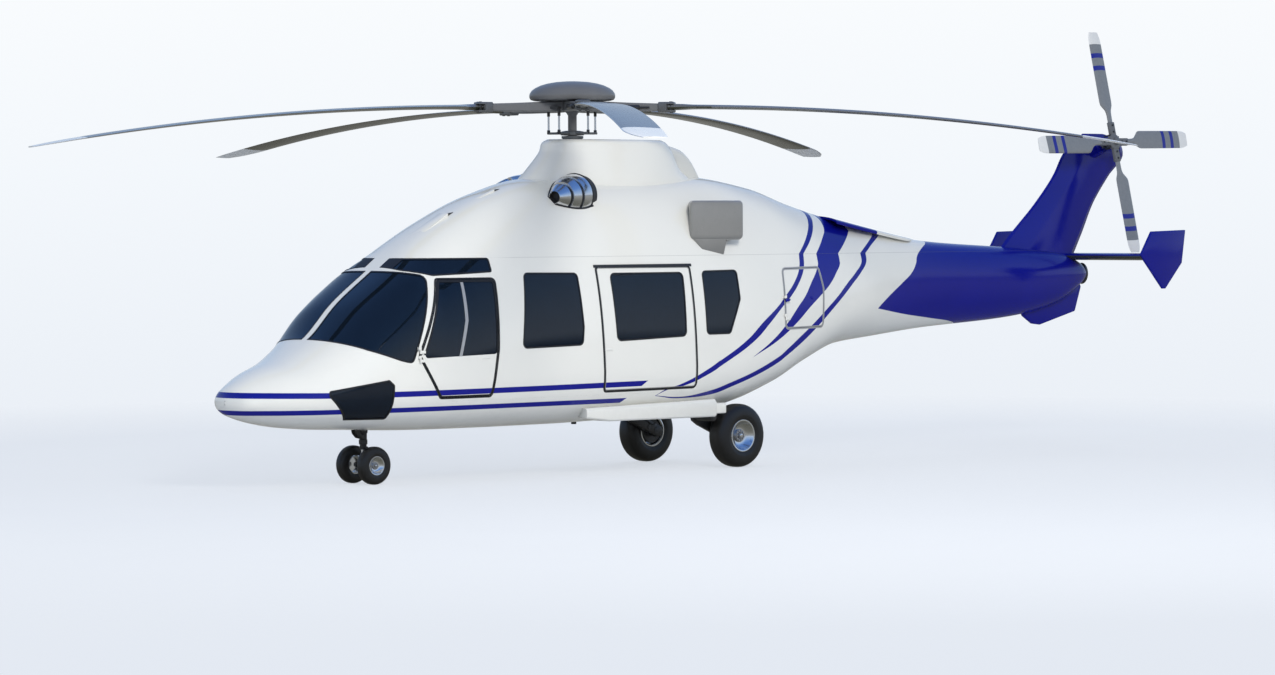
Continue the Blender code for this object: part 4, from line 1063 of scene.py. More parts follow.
BAY_FRONT, BAY_REAR, BAY_FLOOR, BAY_TOP = -2.840, -3.900, 1.800, 2.730
levels = [(1, BAY_FLOOR - 0.016), (1, BAY_FLOOR), (-1, BAY_FLOOR), (-1, BAY_FLOOR - 0.016)]
bay_floor = lofted([[(x, side * on_skin(x, BAY_FLOOR - 0.016, -SKIN_INSIDE).y, h + GROUND)
                     for side, h in levels] for x in np.linspace(BAY_FRONT, BAY_REAR, 12)])
settle(bay_floor, "baggage_bay_floor", "airframe", "black_plastic", CARPET)
partition = box((BAY_REAR, -0.010, BAY_FLOOR + GROUND), (BAY_FRONT, 0.010, BAY_TOP + GROUND))
bay = join(partition, *[bulkhead(x, BAY_FLOOR - 0.016, BAY_TOP) for x in (BAY_FRONT, BAY_REAR)])
settle(bay, "baggage_bay_lining", "airframe", "paint", LINING)
print("bay made:", len(bay.data.polygons), "faces")

# %% [markdown]
# ## Fairing, intakes and exhausts
# The mast comes out of a white moulding that flares into the cowling and has a lump behind it for
# the oil cooler. Two bright scoops feed the engines, each a half-buried cone of three bands with
# dark grooves, and grey heat shields carry the exhaust aft. The moulding is a loft through ovals.

# %% Mast fairing with its hump
FAIRING = ((3.56, -0.60, 1.83, 0.53), (3.60, -0.60, 1.75, 0.50), (3.86, -0.58, 1.45, 0.49),
           (3.98, -0.56, 1.29, 0.48), (4.22, -0.60, 1.10, 0.44), (4.35, -0.57, 1.01, 0.42),
           (4.385, -0.57, 0.94, 0.36))
HUMP = ((-1.00, 0.17, 4.346), (-1.30, 0.17, 4.342), (-1.50, 0.17, 4.334), (-1.83, 0.15, 4.272),
        (-2.01, 0.14, 4.147), (-2.13, 0.135, 3.99), (-2.19, 0.13, 3.90), (-2.24, 0.125, 3.70))


def smooth_table(rows, count):
    """More rows on a smooth curve through a few, by the first column."""
    rows = np.array(sorted(rows))
    places = np.linspace(rows[0, 0], rows[-1, 0], count)
    columns = [smooth_row(rows[:, 0], rows[:, k])(places) for k in range(1, rows.shape[1])]
    return np.stack([places] + columns, -1)


around = np.linspace(0, math.tau, 72, endpoint=False)
rings = []
for z, x, long, half in smooth_table(FAIRING, 34):
    rings.append([(x + long * math.cos(a), half * math.copysign(abs(math.sin(a)) ** 0.82, math.sin(a)), z)
                  for a in around])
fairing = soften(lofted(rings), 0.02, 4, 0.9)
cross = np.linspace(0, math.pi, 25)
rings = []
for x, half, top in smooth_table(HUMP, 26)[::-1]:
    rings.append([(x, half * math.copysign(abs(math.cos(a)) ** 0.6, math.cos(a)),
                   top - 0.10 + 0.10 * math.sin(a) ** 0.8)
                  for a in cross] + [(x, -half, 3.45), (x, half, 3.45)])
carve(fairing, lofted(rings), "UNION")
smooth(grounded(fairing), 40)
settle(fairing, "mast_fairing_shell", "airframe", "paint", WHITE, "mast_fairing")
plate = spun(((0, 4.30), (0.150, 4.30), (0.150, 4.372), (0.132, 4.380), (0.132, 4.395), (0.145, 4.400),
              (0.145, 4.430), (0.062, 4.435), (0, 4.435)))
settle(smooth(grounded(plate)), "fixed_swashplate", "airframe", "black_metal", ROTOR_DARK)
print("fairing:", len(fairing.data.polygons), "faces")

# %% Intake scoops
SCOOP_MOUTH, SCOOP_REAR = Vector((0.930, 0.700, 3.618 + GROUND)), Vector((0.400, 0.505, 3.648 + GROUND))
BANDS = ((0.0, 0.150), (0.196, 0.318), (0.364, 0.530))     # where each band starts and ends
CORE = ((0, 0.10), (0.072, 0.10), (0.142, 0.165), (0.222, 0.345), (0.258, 0.53), (0.255, 0.70), (0, 0.70))
RIM = ((0.250, 0.532), (0.281, 0.534), (0.288, 0.545), (0.286, 0.558), (0.250, 0.565), (0.250, 0.532))
# A lathe's z axis becomes the line from the mouth to the rear of the scoop
scoop_turn = (SCOOP_REAR - SCOOP_MOUTH).to_track_quat("Z", "Y").to_matrix().to_4x4()
to_scoop = Matrix.Translation(SCOOP_MOUTH) @ scoop_turn


def band_profile(start, end, grow=0.0):
    """The outside of a band: all bands follow one curve from the mouth to the wide rear end."""
    return [(0.085 + 0.193 * math.sin(math.pi / 2 * place / 0.530) ** 1.05 + grow, place)
            for place in np.linspace(start, end, 9)]


def scoop_piece(name, profile, slot, material, *node):
    both(smooth(put(spun(profile, 72), to_scoop), 30), name, slot, material, *node)


for number, (start, end) in enumerate(BANDS):
    curve = band_profile(start, end)
    wide = curve[-1][0]
    front = [(0, 0.080), (0.070, 0.080), (0.074, 0.004), (0.080, -0.003)] if number == 0 else [(0, start)]
    scoop_piece(f"intake_band_{number}", [*front, *curve, (wide - 0.010, end + 0.005), (0, end + 0.005)],
                "chrome", CHROME, *(["intake"] if number == 0 else []))
scoop_piece("intake_core", CORE, "black_plastic", BLACK_PLASTIC)
scoop_piece("intake_rim", [(0, RIM[0][1]), *RIM[:-1], (0, RIM[-2][1])], "black_plastic", BLACK_PLASTIC)
scoop_piece("intake_throat", ((0, 0.060), (0.068, 0.060), (0.0715, 0.003), (0.0735, 0.003), (0.0725, 0.085),
                              (0, 0.085)),
            "black_plastic", BLACK_PLASTIC)
skirt = slab(1.3, 0.1, inset=-0.012, wall=0.030, step=0.05, low=0.5)
outer = [point for band in BANDS for point in band_profile(*band, grow=0.014)]
carve(skirt, put(spun([(0, -0.014), *outer, (0.30, 0.575), (0, 0.575)], 72), to_scoop), "INTERSECT")
both(smooth(skirt, 40), "intake_skirt", "black_plastic", BLACK_PLASTIC)

# %% Exhausts
EXHAUST = ((-1.62, 0.45), (-1.20, 0.985), (-1.76, 1.15), (-2.04, 1.16), (-2.04, 0.45))
EXHAUST_LOW, EXHAUST_HIGH = 3.050 + GROUND, 3.575 + GROUND
points = [(x, y, z) for x, y in EXHAUST for z in (EXHAUST_LOW, EXHAUST_HIGH)]
duct = soften(convex(points), 0.070, 6, 0.4)
mouth = box((-2.3, 0.60, EXHAUST_LOW + 0.075), (-1.62, 1.09, EXHAUST_HIGH - 0.075), bevel=0.10, segments=6)
carve(duct, mouth)
both(smooth(duct, 40), "exhaust_shield", "exhaust_grey", EXHAUST_GREY, "exhaust")
# Partly painted shadow: the grey foot under each heat shield joins it to the cowling and also stands for the
# shadow that the shield casts there.
foot_and_shadow = convex([(-1.27, 0.80, 2.47), (-1.27, 0.99, 2.47), (-1.78, 0.80, 2.47), (-1.76, 1.12, 2.47),
               (-1.40, 0.90, 2.33), (-1.40, 1.00, 2.33), (-1.80, 0.90, 2.25), (-1.80, 1.01, 2.25)])
soften(foot_and_shadow, 0.020, 4, 0.4)
both(smooth(foot_and_shadow), "exhaust_foot_and_shadow", "exhaust_grey", EXHAUST_GREY)
sleeve = box((-2.01, 0.604, EXHAUST_LOW + 0.079), (-1.64, 1.086, EXHAUST_HIGH - 0.079), bevel=0.096,
             segments=6)
carve(sleeve, box((-2.4, 0.62, EXHAUST_LOW + 0.095), (-1.66, 1.07, EXHAUST_HIGH - 0.095), bevel=0.085,
                  segments=6))
both(smooth(sleeve, 40), "exhaust_sleeve", "exhaust_grey", SOOT)
print("scoops and exhausts made")

# %% [markdown]
# ## Plate, sponsons, vents and hook
# A thin plate overhangs where the cowling meets the boom. White sponsons along the belly take the
# main legs. Two low wedges on the roof let hot air out at their rear end, and a load hook hangs
# under the mast. Each is a loft or a hull round a few corners, because the forms are plain.

# %% Tail plate, sponsons, roof vents and belly hook
TAIL_PLATE = ((-4.36, 0.58, 3.371), (-5.10, 0.50, 3.235), (-6.00, 0.36, 3.085), (-6.38, 0.12, 3.035))
sheets = []
for x, half, top in smooth_table(TAIL_PLATE, 20):
    row = [(x, half * math.sin(t), top - 0.085 * (half / 0.6) * (1 - math.cos(t)))
           for t in np.linspace(-math.pi / 2, math.pi / 2, 21)]
    sheets.append(row + [(px, py * 0.985, pz - 0.030) for px, py, pz in reversed(row)])
tail_plate = smooth(grounded(lofted(sheets)), 40)
settle(tail_plate, "tail_plate", "airframe", "paint", PLATE_PAINT, "aft_cowling")

# Rows of x, inner and outer y, low and high, and how far the inner edge lies aft of the outer one
SPONSON = ((0.78, 0.80, 1.152, 0.764, 0.891, 0.16), (0.37, 0.70, 1.160, 0.714, 0.903, 0),
           (-1.50, 0.60, 1.160, 0.706, 0.942, 0), (-1.515, 0.61, 1.152, 0.716, 0.932, 0))
rings = [[(x - aft, inner, low), (x, outer - 0.02, low), (x, outer, low + 0.02), (x, outer, high - 0.03),
          (x, outer - 0.03, high), (x - aft, inner, high)] for x, inner, outer, low, high, aft in SPONSON]
sponson = soften(lofted(rings), 0.005, 3, 0.5)
step_box = box((-1.75, 0.70, 0.743), (-1.50, 1.10, 0.884), bevel=0.02)
carve(sponson, step_box, "UNION")
both(smooth(grounded(sponson), 40), "sponson_shell", "paint", WHITE, "sponson")


def on_top(x, y, lift=0.0):
    """The point of the skin straight above a place in plan."""
    half, keel, widest, top, low, high = section(x)
    return Vector((x, y, float(widest + (top - widest) * (1 - abs(y / half) ** high) ** (1 / high)) + lift))


# A vent's front edge is flush and its rear edge stands up: (x, y) of its four corners
VENTS = (((2.80, -0.010), (2.68, 0.215), (2.31, 0.215), (2.33, 0.055), 0.040),
         ((1.80, 0.140), (1.77, 0.215), (1.52, 0.200), (1.53, 0.135), 0.026))
for number, (*corners, lift) in enumerate(VENTS):
    lifts = (0.002, 0.002, lift, lift)
    upper = [on_top(x, y, rise) for (x, y), rise in zip(corners, lifts)]
    wedge = convex(upper + [point - Vector((0, 0, 0.06)) for point in upper])
    soften(wedge, 0.004, 2, 0.5)
    settle(smooth(wedge), f"roof_vent_{number}", "airframe", "paint", WHITE)
    (x, y_high), (x_low, y_low) = corners[2:]
    inner = [on_top(x + 0.02, y_high - 0.012, lift - 0.005),
             on_top(x_low + 0.02, y_low + 0.012, lift - 0.005),
             on_top(x - 0.10, y_high - 0.020, 0.003), on_top(x - 0.030, y_low + 0.012, 0.003)]
    mouth = convex(inner + [point - Vector((0, 0, 0.03)) for point in inner])
    settle(smooth(mouth), f"roof_vent_mouth_{number}", "airframe", "black_plastic", BLACK_PLASTIC)

hook = join(rod((0, 0, 0.70), (0, 0, 0.625), 0.035),
            box((-0.06, -0.05, 0.668), (0.06, 0.05, 0.69), bevel=0.008))
settle(smooth(grounded(hook)), "cargo_hook", "airframe", "black_metal", BLACK_METAL)
tip = spun([(0.022 * math.sin(a), 0.010 * math.cos(a)) for a in np.linspace(0, math.pi, 12)], 24)
nose_tip = put(tip, Matrix.Translation((5.6855, 0, 1.095 + GROUND)) @ Matrix.Rotation(math.pi / 2, 4, "Y"))
settle(smooth(nose_tip, 60), "nose_tip_cap", "airframe", "paint", WHITE)
print("plate, sponsons and vents made")

# %% [markdown]
# ## Wheels and legs
# Smooth low-pressure tyres on polished split rims. Each wheel is turned as a profile about its
# axle, the way a rim is made on a lathe, and the bolts are set round it by a loop. The main wheels
# trail on short swinging arms with an oil strut, and the nose leg is a straight strut whose lower
# half swivels with its fork, held in line by a pair of hinged links.

# %% A wheel turned about its axle
def along_axle(x, y, radius, side):
    """From a lathe's z axis to an axle along y, with z pointing outboard."""
    return Matrix.Translation((x, y, radius + GROUND)) @ Matrix.Rotation(-side * math.pi / 2, 4, "X")


def tyre_profile(radius, width, rim):
    """Half a tyre's section, from bead to bead over the tread: (radius, place along the axle)."""
    points = []
    for t in np.linspace(-0.93 * math.pi / 2, 0.93 * math.pi / 2, 61):
        s = width / 2 * math.copysign(abs(math.sin(t)) ** 0.62, t)
        r = rim * 0.92 + (radius - rim * 0.92) * abs(math.cos(t)) ** 0.52
        points.append((r, s))
    low = (rim * 0.99, width * 0.41)
    return [(low[0], -low[1]), *points, low, (low[0], -low[1])]


def lathe(profile, x, y, radius, side, steps=72):
    """A ring or a disc turned about an axle. A profile that starts off the axis is a closed loop."""
    angles = np.linspace(0, math.tau, steps, endpoint=False)
    rings = [[(r * math.cos(a), r * math.sin(a), s) for a in angles] for r, s in profile]
    return put(lofted(rings, caps=profile[0] != profile[-1]), along_axle(x, y, radius, side))


def wheel(name, body, node, spec, y, side, brake):
    """A tyre, its rim, hub and bolts, and on the main wheels a brake drum inboard."""
    x, radius, width, rim = spec["x"], spec["radius"], spec["width"], spec["rim"]
    tyre = lathe(tyre_profile(radius, width, rim), x, y, radius, side, 96)
    settle(smooth(tyre, 30), name + "_tyre", body, "tyre", TYRE, *([node] if node else []))
    lip = width * 0.40
    dish = [(rim * share, lip * (0.42 + 0.66 * ((share - 0.42) / 0.505) ** 2.2))
            for share in np.linspace(0.42, 0.925, 12)]
    back = [(rim * 0.965, lip * 1.11), (rim * 1.02, lip * 1.10), (rim * 1.045, lip * 1.03),
            (rim * 0.90, lip * 0.5), (rim * 0.86, -lip * 0.5), (rim * 1.03, -lip * 1.00),
            (rim * 1.02, -lip * 1.08), (rim * 0.96, -lip * 1.10), (rim * 0.91, -lip * 1.02),
            (rim * 0.84, -lip * 0.70), (rim * 0.82, lip * 0.12), (0.0, lip * 0.10)]
    settle(smooth(lathe([(0.0, lip * 0.42), *dish, *back], x, y, radius, side), 30), name + "_rim", body,
           "chrome", CHROME)
    place = along_axle(x, y, radius, side)
    hub = spun(((0, lip * 0.40), (rim * 0.41, lip * 0.40), (rim * 0.41, lip * 0.54), (rim * 0.39, lip * 0.58),
                (rim * 0.22, lip * 0.60), (rim * 0.20, lip * 0.72), (0, lip * 0.72)), 48)
    settle(smooth(put(hub, place), 30), name + "_hub", body, "black_metal", STEEL)
    bolts = [rod((0, 0, lip * 0.70), (0, 0, lip * 0.82), rim * 0.12, bevel=0.003)]
    count = 10 if brake else 8
    for k in range(count):
        at = Vector((rim * 0.31, 0, 0))
        at.rotate(Matrix.Rotation(math.tau * k / count, 3, "Z"))
        bolts.append(rod(at + Vector((0, 0, lip * 0.58)), at + Vector((0, 0, lip * 0.68)), rim * 0.045,
                         sides=8))
    settle(smooth(put(join(*bolts), place), 30), name + "_bolts", body, "chrome", CHROME)
    if brake:
        drum = [(0.065, -lip * 0.30), (rim * 0.76, -lip * 0.30), (rim * 0.80, -lip * 0.90),
                (rim * 0.74, -lip), (0.065, -lip), (0.065, -lip * 0.30)]
        settle(smooth(lathe(drum, x, y, radius, side), 30), name + "_brake_drum", body, "black_metal",
               BLACK_METAL)


for word, side in SIDES:
    wheel(f"main_wheel_{word}", f"main_wheel_{word}", f"main_wheel_{word}", MAIN_WHEEL,
          side * MAIN_WHEEL["y"], side, True)
    wheel(f"nose_wheel_{word}", "nose_wheels", "nose_wheels", NOSE_WHEEL, side * NOSE_WHEEL["y"], side, False)
axle = rod((leg_x, -0.16, NOSE_WHEEL["radius"]), (leg_x, 0.16, NOSE_WHEEL["radius"]), 0.030)
settle(smooth(grounded(axle)), "nose_axle", "nose_wheels", "black_metal", STEEL)
print("wheels made")

# %% Main legs
ARM = ((-2.178, 0.366), (-2.060, 0.372), (-1.600, 0.575), (-1.500, 0.640), (-1.500, 0.760), (-1.600, 0.740),
       (-2.100, 0.520), (-2.178, 0.486))
ARM_Y, AXLE_X, AXLE_HEIGHT = 0.689, MAIN_WHEEL["x"], MAIN_WHEEL["radius"]
# The ends of each bar as (x, y, height), its radius and how far its edges are rounded
LEG_BARS = (((AXLE_X, 0.645, AXLE_HEIGHT), (AXLE_X, 0.735, AXLE_HEIGHT), 0.078, 0.008),
            ((AXLE_X, 0.70, AXLE_HEIGHT), (AXLE_X, 0.93, AXLE_HEIGHT), 0.042, 0.004),
            ((-1.56, 0.640, 0.700), (-1.56, 1.040, 0.700), 0.060, 0.006),
            ((-1.933, ARM_Y, 0.69), (-1.898, ARM_Y, 1.02), 0.047, 0.004),
            ((-1.936, ARM_Y, 0.665), (-1.932, ARM_Y, 0.700), 0.054, 0.004),
            ((-1.958, ARM_Y - 0.046, 0.490), (-1.958, ARM_Y + 0.046, 0.490), 0.034, 0))
HOSE = ((-1.62, 0.60, 0.78), (-1.72, 0.625, 0.66), (-1.86, 0.632, 0.60), (-2.02, 0.64, 0.52),
        (-2.10, 0.68, 0.56), (-2.14, 0.74, 0.55))


def on_side(point, side):
    """A port point, or its twin on the starboard side."""
    return (point[0], side * point[1], point[2])


def bent_bar(points, count, radius, sides, side=1):
    """Short rods along a smooth curve through a few points."""
    curve = smooth_table([(k, *p) for k, p in enumerate(points)], count)[:, 1:]
    return [rod(on_side(a, side), on_side(b, side), radius, sides=sides)
            for a, b in zip(curve[:-1], curve[1:])]


for word, side in SIDES:
    arm = soften(prism(ARM, side * ARM_Y - 0.040, side * ARM_Y + 0.040), 0.016, 3, 0.4)
    bars = [rod(on_side(a, side), on_side(b, side), radius, bevel=bevel) for a, b, radius, bevel in LEG_BARS]
    saddle = box((-1.66, min(side * 0.66, side * 1.03), 0.720), (-1.48, max(side * 0.66, side * 1.03), 0.800),
                 bevel=0.015)
    settle(smooth(grounded(join(arm, saddle, *bars))), f"main_leg_{word}_frame", "airframe", "black_metal",
           BLACK_METAL, f"main_leg_{word}")
    piston = rod((-1.958, side * ARM_Y, 0.50), (-1.933, side * ARM_Y, 0.70), 0.031)
    settle(smooth(grounded(piston)), f"main_leg_{word}_piston", "airframe", "chrome", CHROME)
    hose = grounded(join(*bent_bar(HOSE, 30, 0.008, 10, side)))
    settle(smooth(hose), f"main_leg_{word}_hose", "airframe", "black_plastic", BLACK_PLASTIC)
print("main legs made")

# %% Nose leg and fork
# All of it is modelled round the z axis in heights above the floor, and then put in its place
TO_LEG = Matrix.Translation((leg_x, 0, GROUND))
nose_block = box((-0.115, -0.095, 0.775), (0.115, 0.095, 0.985), bevel=0.018)
barrel = spun([(0, 0.500), (0.050, 0.500), (0.055, 0.506), (0.055, 0.560), (0.048, 0.566), (0.048, 0.640),
               (0.058, 0.648), (0.058, 0.800), (0, 0.800)], 40)
BRACE = ((0.118, 0.84), (0.118, 0.775), (0.105, 0.700), (0.070, 0.640), (0.030, 0.610), (0.030, 0.570),
         (0.090, 0.585), (0.145, 0.640), (0.165, 0.720), (0.165, 0.84))
braces = [soften(prism(BRACE, y, y + 0.022), 0.004, 2, 0.6) for y in (-0.050, 0.028)]
bar = rod((0.140, -0.055, 0.80), (0.140, 0.055, 0.80), 0.018)
settle(smooth(put(join(nose_block, barrel, bar, *braces), TO_LEG)), "nose_leg_frame", "airframe",
       "black_metal", BLACK_METAL, "nose_leg")
fork = spun([(0, 0.200), (0.038, 0.200), (0.038, 0.330), (0.030, 0.335), (0.030, 0.440), (0.044, 0.446),
             (0.044, 0.4985), (0, 0.4985)], 40)
boss = rod((0, -0.100, NOSE_WHEEL["radius"]), (0, 0.100, NOSE_WHEEL["radius"]), 0.054, bevel=0.006)
KNEE = (-0.125, 0.385)
links = []
for (x0, h0), (x1, h1), half in (((-0.035, 0.470), KNEE, 0.030), (KNEE, (-0.040, 0.290), 0.036)):
    slope = Vector((x1 - x0, 0, h1 - h0)).normalized() * 0.012
    corners = [(x - s * slope.z, y, h + s * slope.x)
               for x, h in ((x0, h0), (x1, h1)) for s in (-1, 1) for y in (-half, half)]
    links.append(soften(convex(corners), 0.004, 2, 0.6))
pin = rod((KNEE[0], -0.045, KNEE[1]), (KNEE[0], 0.045, KNEE[1]), 0.013)
settle(smooth(put(join(fork, boss, pin, *links), TO_LEG)), "nose_fork_frame", "nose_steering", "black_metal",
       BLACK_METAL, "nose_steering_fork")
chrome_band = put(rod((0, 0, 0.345), (0, 0, 0.436), 0.033), TO_LEG)
settle(smooth(chrome_band), "nose_fork_piston", "nose_steering", "chrome", CHROME)
print("legs made")

# %% [markdown]
# ## Main rotor
# Five composite blades on a star-shaped hub under a low dome. Each arm ends in a fork block with
# two bolts. Pitch links run down to the swashplate. A blade is a loft through aerofoil sections
# that sags under its own weight, painted grey above, dark below and white at the tip.

# %% Rotor finishes
STRIP_START, STRIP_HALF, TIP_START = 1.9, 0.045, 6.73   # the metal strip and the white tip of a blade


def blade_paint():
    """Grey above, dark below, white at the tip, with bare metal along the front edge."""
    material, place = new_finish("blade_paint")
    across = split(place.node("ShaderNodeUVMap", {"uv_map": "UVMap"}))
    x, y, z = split(place)
    radius = (x * x + y * y).maths("SQRT", x * x + y * y)
    grain = noise(place, 5.0, 3.0, 0.5)
    top = grain.mix((0.085, 0.09, 0.095, 1), (0.12, 0.125, 0.13, 1))
    below = grain.mix((0.022, 0.024, 0.014, 1), (0.040, 0.042, 0.026, 1))
    colour = (across[1] - 0.5).edge(0.01).mix(top, below)
    metal = (STRIP_HALF - abs(across[1] - 0.5)).edge(0.01) * (radius - STRIP_START).edge(0.02)
    colour = metal.mix(colour, (0.30, 0.31, 0.32, 1))
    colour = (radius - TIP_START).edge(0.01).mix(colour, (0.80, 0.80, 0.78, 1))
    return surface(material, place, Base_Color=colour, Roughness=grain * 0.10 + 0.22, Metallic=metal * 0.6,
                   Coat_Weight=0.4, Coat_Roughness=0.08, Normal=bump(grain, 0.04, 0.001))


BLADE_PAINT = blade_paint()
BLADE_TURNS = [Matrix.Rotation(math.radians(54.66 + 72 * k), 4, "Z") for k in range(5)]
HUB_HEIGHT, DROOP, FLAP_RADIUS, BLADE_LONG = 4.800, 0.545, 1.300, 6.1


def droop(r):
    """The height of a blade's axis at a radius: level at the root, lower toward the tip."""
    return HUB_HEIGHT - DROOP * ((r - FLAP_RADIUS) / BLADE_LONG) ** 2


def aerofoil(lead, trail, thick, count=15):
    """A section from the trailing edge over the top to the leading edge and back: (place, rise)."""
    points = []
    for t in np.linspace(0, math.tau, 2 * count, endpoint=False):
        share = (1 - math.cos(t)) / 2
        back = 1 - share
        rise = (0.2969 * math.sqrt(back) - 0.126 * back - 0.3516 * back ** 2 + 0.2843 * back ** 3
                - 0.1015 * back ** 4) * 5 + 0.01
        points.append((trail + (lead - trail) * share, math.copysign(rise * thick, math.sin(t))))
    return points


BLADE = ((1.290, 0.060, -0.060, 0.085), (1.45, 0.070, -0.070, 0.080), (1.66, 0.150, -0.290, 0.062),
         (2.60, 0.150, -0.320, 0.056), (4.20, 0.150, -0.320, 0.050), (5.80, 0.150, -0.320, 0.042),
         (6.85, 0.150, -0.320, 0.036), (7.20, 0.090, -0.320, 0.028), (7.40, -0.020, -0.310, 0.018))
rings = [[(r, -place, droop(r) + rise) for place, rise in aerofoil(lead, trail, thick)]
         for r, lead, trail, thick in smooth_table(BLADE, 90)]
master = smooth(grounded(lofted(rings)), 40)
for k, turn in enumerate(BLADE_TURNS, 1):
    blade = copy_of(master, turn)
    settle(blade, f"main_blade_skin_{k}", "main_rotor", "rotor_grey", BLADE_PAINT, f"main_blade_{k}")
bpy.data.objects.remove(master)
print("blades:", len(blade.data.polygons), "faces each")

# %% Rotor head
DOME = ((0, 5.152), (0.10, 5.150), (0.22, 5.141), (0.33, 5.122), (0.42, 5.096), (0.49, 5.063), (0.535, 5.030),
        (0.562, 4.990), (0.568, 4.965), (0.566, 4.935), (0.550, 4.908), (0.515, 4.896), (0.20, 4.890),
        (0, 4.890))
settle(smooth(grounded(spun(DOME, 96)), 40), "rotor_dome", "main_rotor", "rotor_grey", ROTOR_GREY,
       "rotor_head")
HUB = ((0, 4.898), (0.200, 4.898), (0.215, 4.885), (0.215, 4.800), (0.195, 4.780), (0.120, 4.765),
       (0.080, 4.735), (0.058, 4.700), (0.058, 4.500), (0.058, 4.360), (0, 4.360))
settle(smooth(grounded(spun(HUB, 64)), 40), "rotor_mast", "main_rotor", "rotor_grey", ROTOR_GREY)
UPPER_SWASH = ((0, 4.440), (0.150, 4.440), (0.158, 4.448), (0.158, 4.484), (0.150, 4.490), (0.095, 4.500),
               (0.066, 4.502), (0, 4.502))
ROTOR_ARM = ((0.15, 0.140, 4.755, 4.898), (0.45, 0.105, 4.745, 4.880), (0.80, 0.072, 4.745, 4.862),
             (1.20, 0.062, 4.752, 4.848), (1.285, 0.060, 4.755, 4.845))     # radius, half width, low, high
SOFT, LINK = 0.018, (0.271, 0.179)
HORN = ((0.12, -0.01), (0.05, 0.11), (0.240, 0.205), (0.305, 0.165))
PITCH_ARM = ((0.30, 0.050), (0.42, 0.050), (0.245, 0.195), (0.300, 0.205))


def flat_plate(corners, low, high):
    """A level plate round a few corners in plan."""
    return convex([(*corner, height) for corner in corners for height in (low, high)])


swash = [spun(UPPER_SWASH, 64)]
arms, blocks, dark, links = [], [], [], []
for turn in BLADE_TURNS:
    rings = [[(r, -half, low + SOFT), (r, -half + SOFT, low), (r, half - SOFT, low), (r, half, low + SOFT),
              (r, half, high - SOFT), (r, half - SOFT, high), (r, -half + SOFT, high),
              (r, -half, high - SOFT)]
             for r, half, low, high in smooth_table(ROTOR_ARM, 14)]
    arms.append(put(lofted(rings), turn))
    block = box((1.165, -0.090, 4.730), (1.375, 0.090, 4.868), bevel=0.016)
    carve(block, box((1.280, -0.2, 4.760), (1.50, 0.2, 4.840)))
    blocks.append(put(block, turn))
    horn = modify(flat_plate(HORN, 4.452, 4.482), "BEVEL", width=0.006, segments=2, limit_method="ANGLE")
    swash.append(put(horn, turn))
    bolts = [rod((1.330, y, 4.722), (1.330, y, 4.874), 0.020, sides=12, bevel=0.002) for y in (-0.042, 0.042)]
    damper = rod((0.52, -0.105, 4.800), (0.92, -0.085, 4.795), 0.034, bevel=0.006)
    damper_rod = rod((0.90, -0.086, 4.795), (1.05, -0.080, 4.795), 0.014)
    joints = [rod((*LINK, low), (*LINK, high), radius, sides=16, bevel=0.003)
              for low, high, radius in ((4.690, 4.800, 0.020), (4.455, 4.510, 0.021))]
    dark.append(put(join(*bolts, damper, damper_rod, *joints, flat_plate(PITCH_ARM, 4.782, 4.812)), turn))
    links.append(put(rod((*LINK, 4.495), (*LINK, 4.70), 0.0135, sides=16), turn))
settle(smooth(grounded(join(*arms))), "rotor_arms", "main_rotor", "rotor_grey", ROTOR_GREY)
settle(smooth(grounded(join(*blocks))), "rotor_fork_blocks", "main_rotor", "rotor_grey", ROTOR_DARK)
settle(smooth(grounded(join(*dark))), "rotor_bolts_and_dampers", "main_rotor", "black_metal", BLACK_METAL)
settle(smooth(grounded(join(*links))), "rotor_pitch_links", "main_rotor", "chrome", CHROME)
settle(smooth(grounded(join(*swash))), "rotor_swashplate", "main_rotor", "rotor_grey", ROTOR_DARK)
print("rotor head made")

# %% [markdown]
# ## Tail
# The fin rises from the boom with a bevelled front and carries the tail rotor on a canted gearbox.
# The stabilizer passes through the boom and ends in plates, and a small fin hangs below.

# %% Fin, stabilizer and ventral fin
FIN = ((2.50, -7.85, -9.72, 0.27), (2.70, -8.10, -9.86, 0.24), (3.12, -8.57, -10.12, 0.20),
       (3.54, -9.07, -10.36, 0.17), (3.96, -9.48, -10.72, 0.15), (4.29, -9.71, -11.05, 0.14),
       (4.50, -10.00, -10.95, 0.12), (4.585, -10.14, -10.60, 0.10))
# The fin's section: shares of the chord from its front edge, and of the thickness to one side
FIN_SIDE = ((0.0, 0.0), (0.03, 0.16), (0.30, 0.47), (0.36, 0.50), (0.60, 0.50), (0.93, 0.30), (1.0, 0.06))
FIN_SECTION = FIN_SIDE + tuple((share, -wide) for share, wide in FIN_SIDE[:0:-1])
rings = [[(lead - (lead - trail) * share, thick * wide, height) for share, wide in FIN_SECTION]
         for height, lead, trail, thick in smooth_table(FIN, 40)]
fin = smooth(grounded(lofted(rings)), 14)
settle(fin, "tail_fin_skin", "airframe", "blue_paint", BLUE, "tail_fin")

HUB_PLACE, CANT = Vector((-10.333, 0.450, 4.454 + GROUND)), math.radians(12.5)
TO_HUB = Matrix.Translation(HUB_PLACE) @ Matrix.Rotation(CANT - math.pi / 2, 4, "X")
gearbox = spun(((0, -0.60), (0.165, -0.60), (0.160, -0.50), (0.135, -0.36), (0.122, -0.30), (0.128, -0.290),
                (0.128, -0.262), (0.110, -0.255), (0.105, -0.2225), (0, -0.2225)), 48)
settle(smooth(put(gearbox, TO_HUB), 40), "tail_gearbox", "airframe", "blue_paint", BLUE)

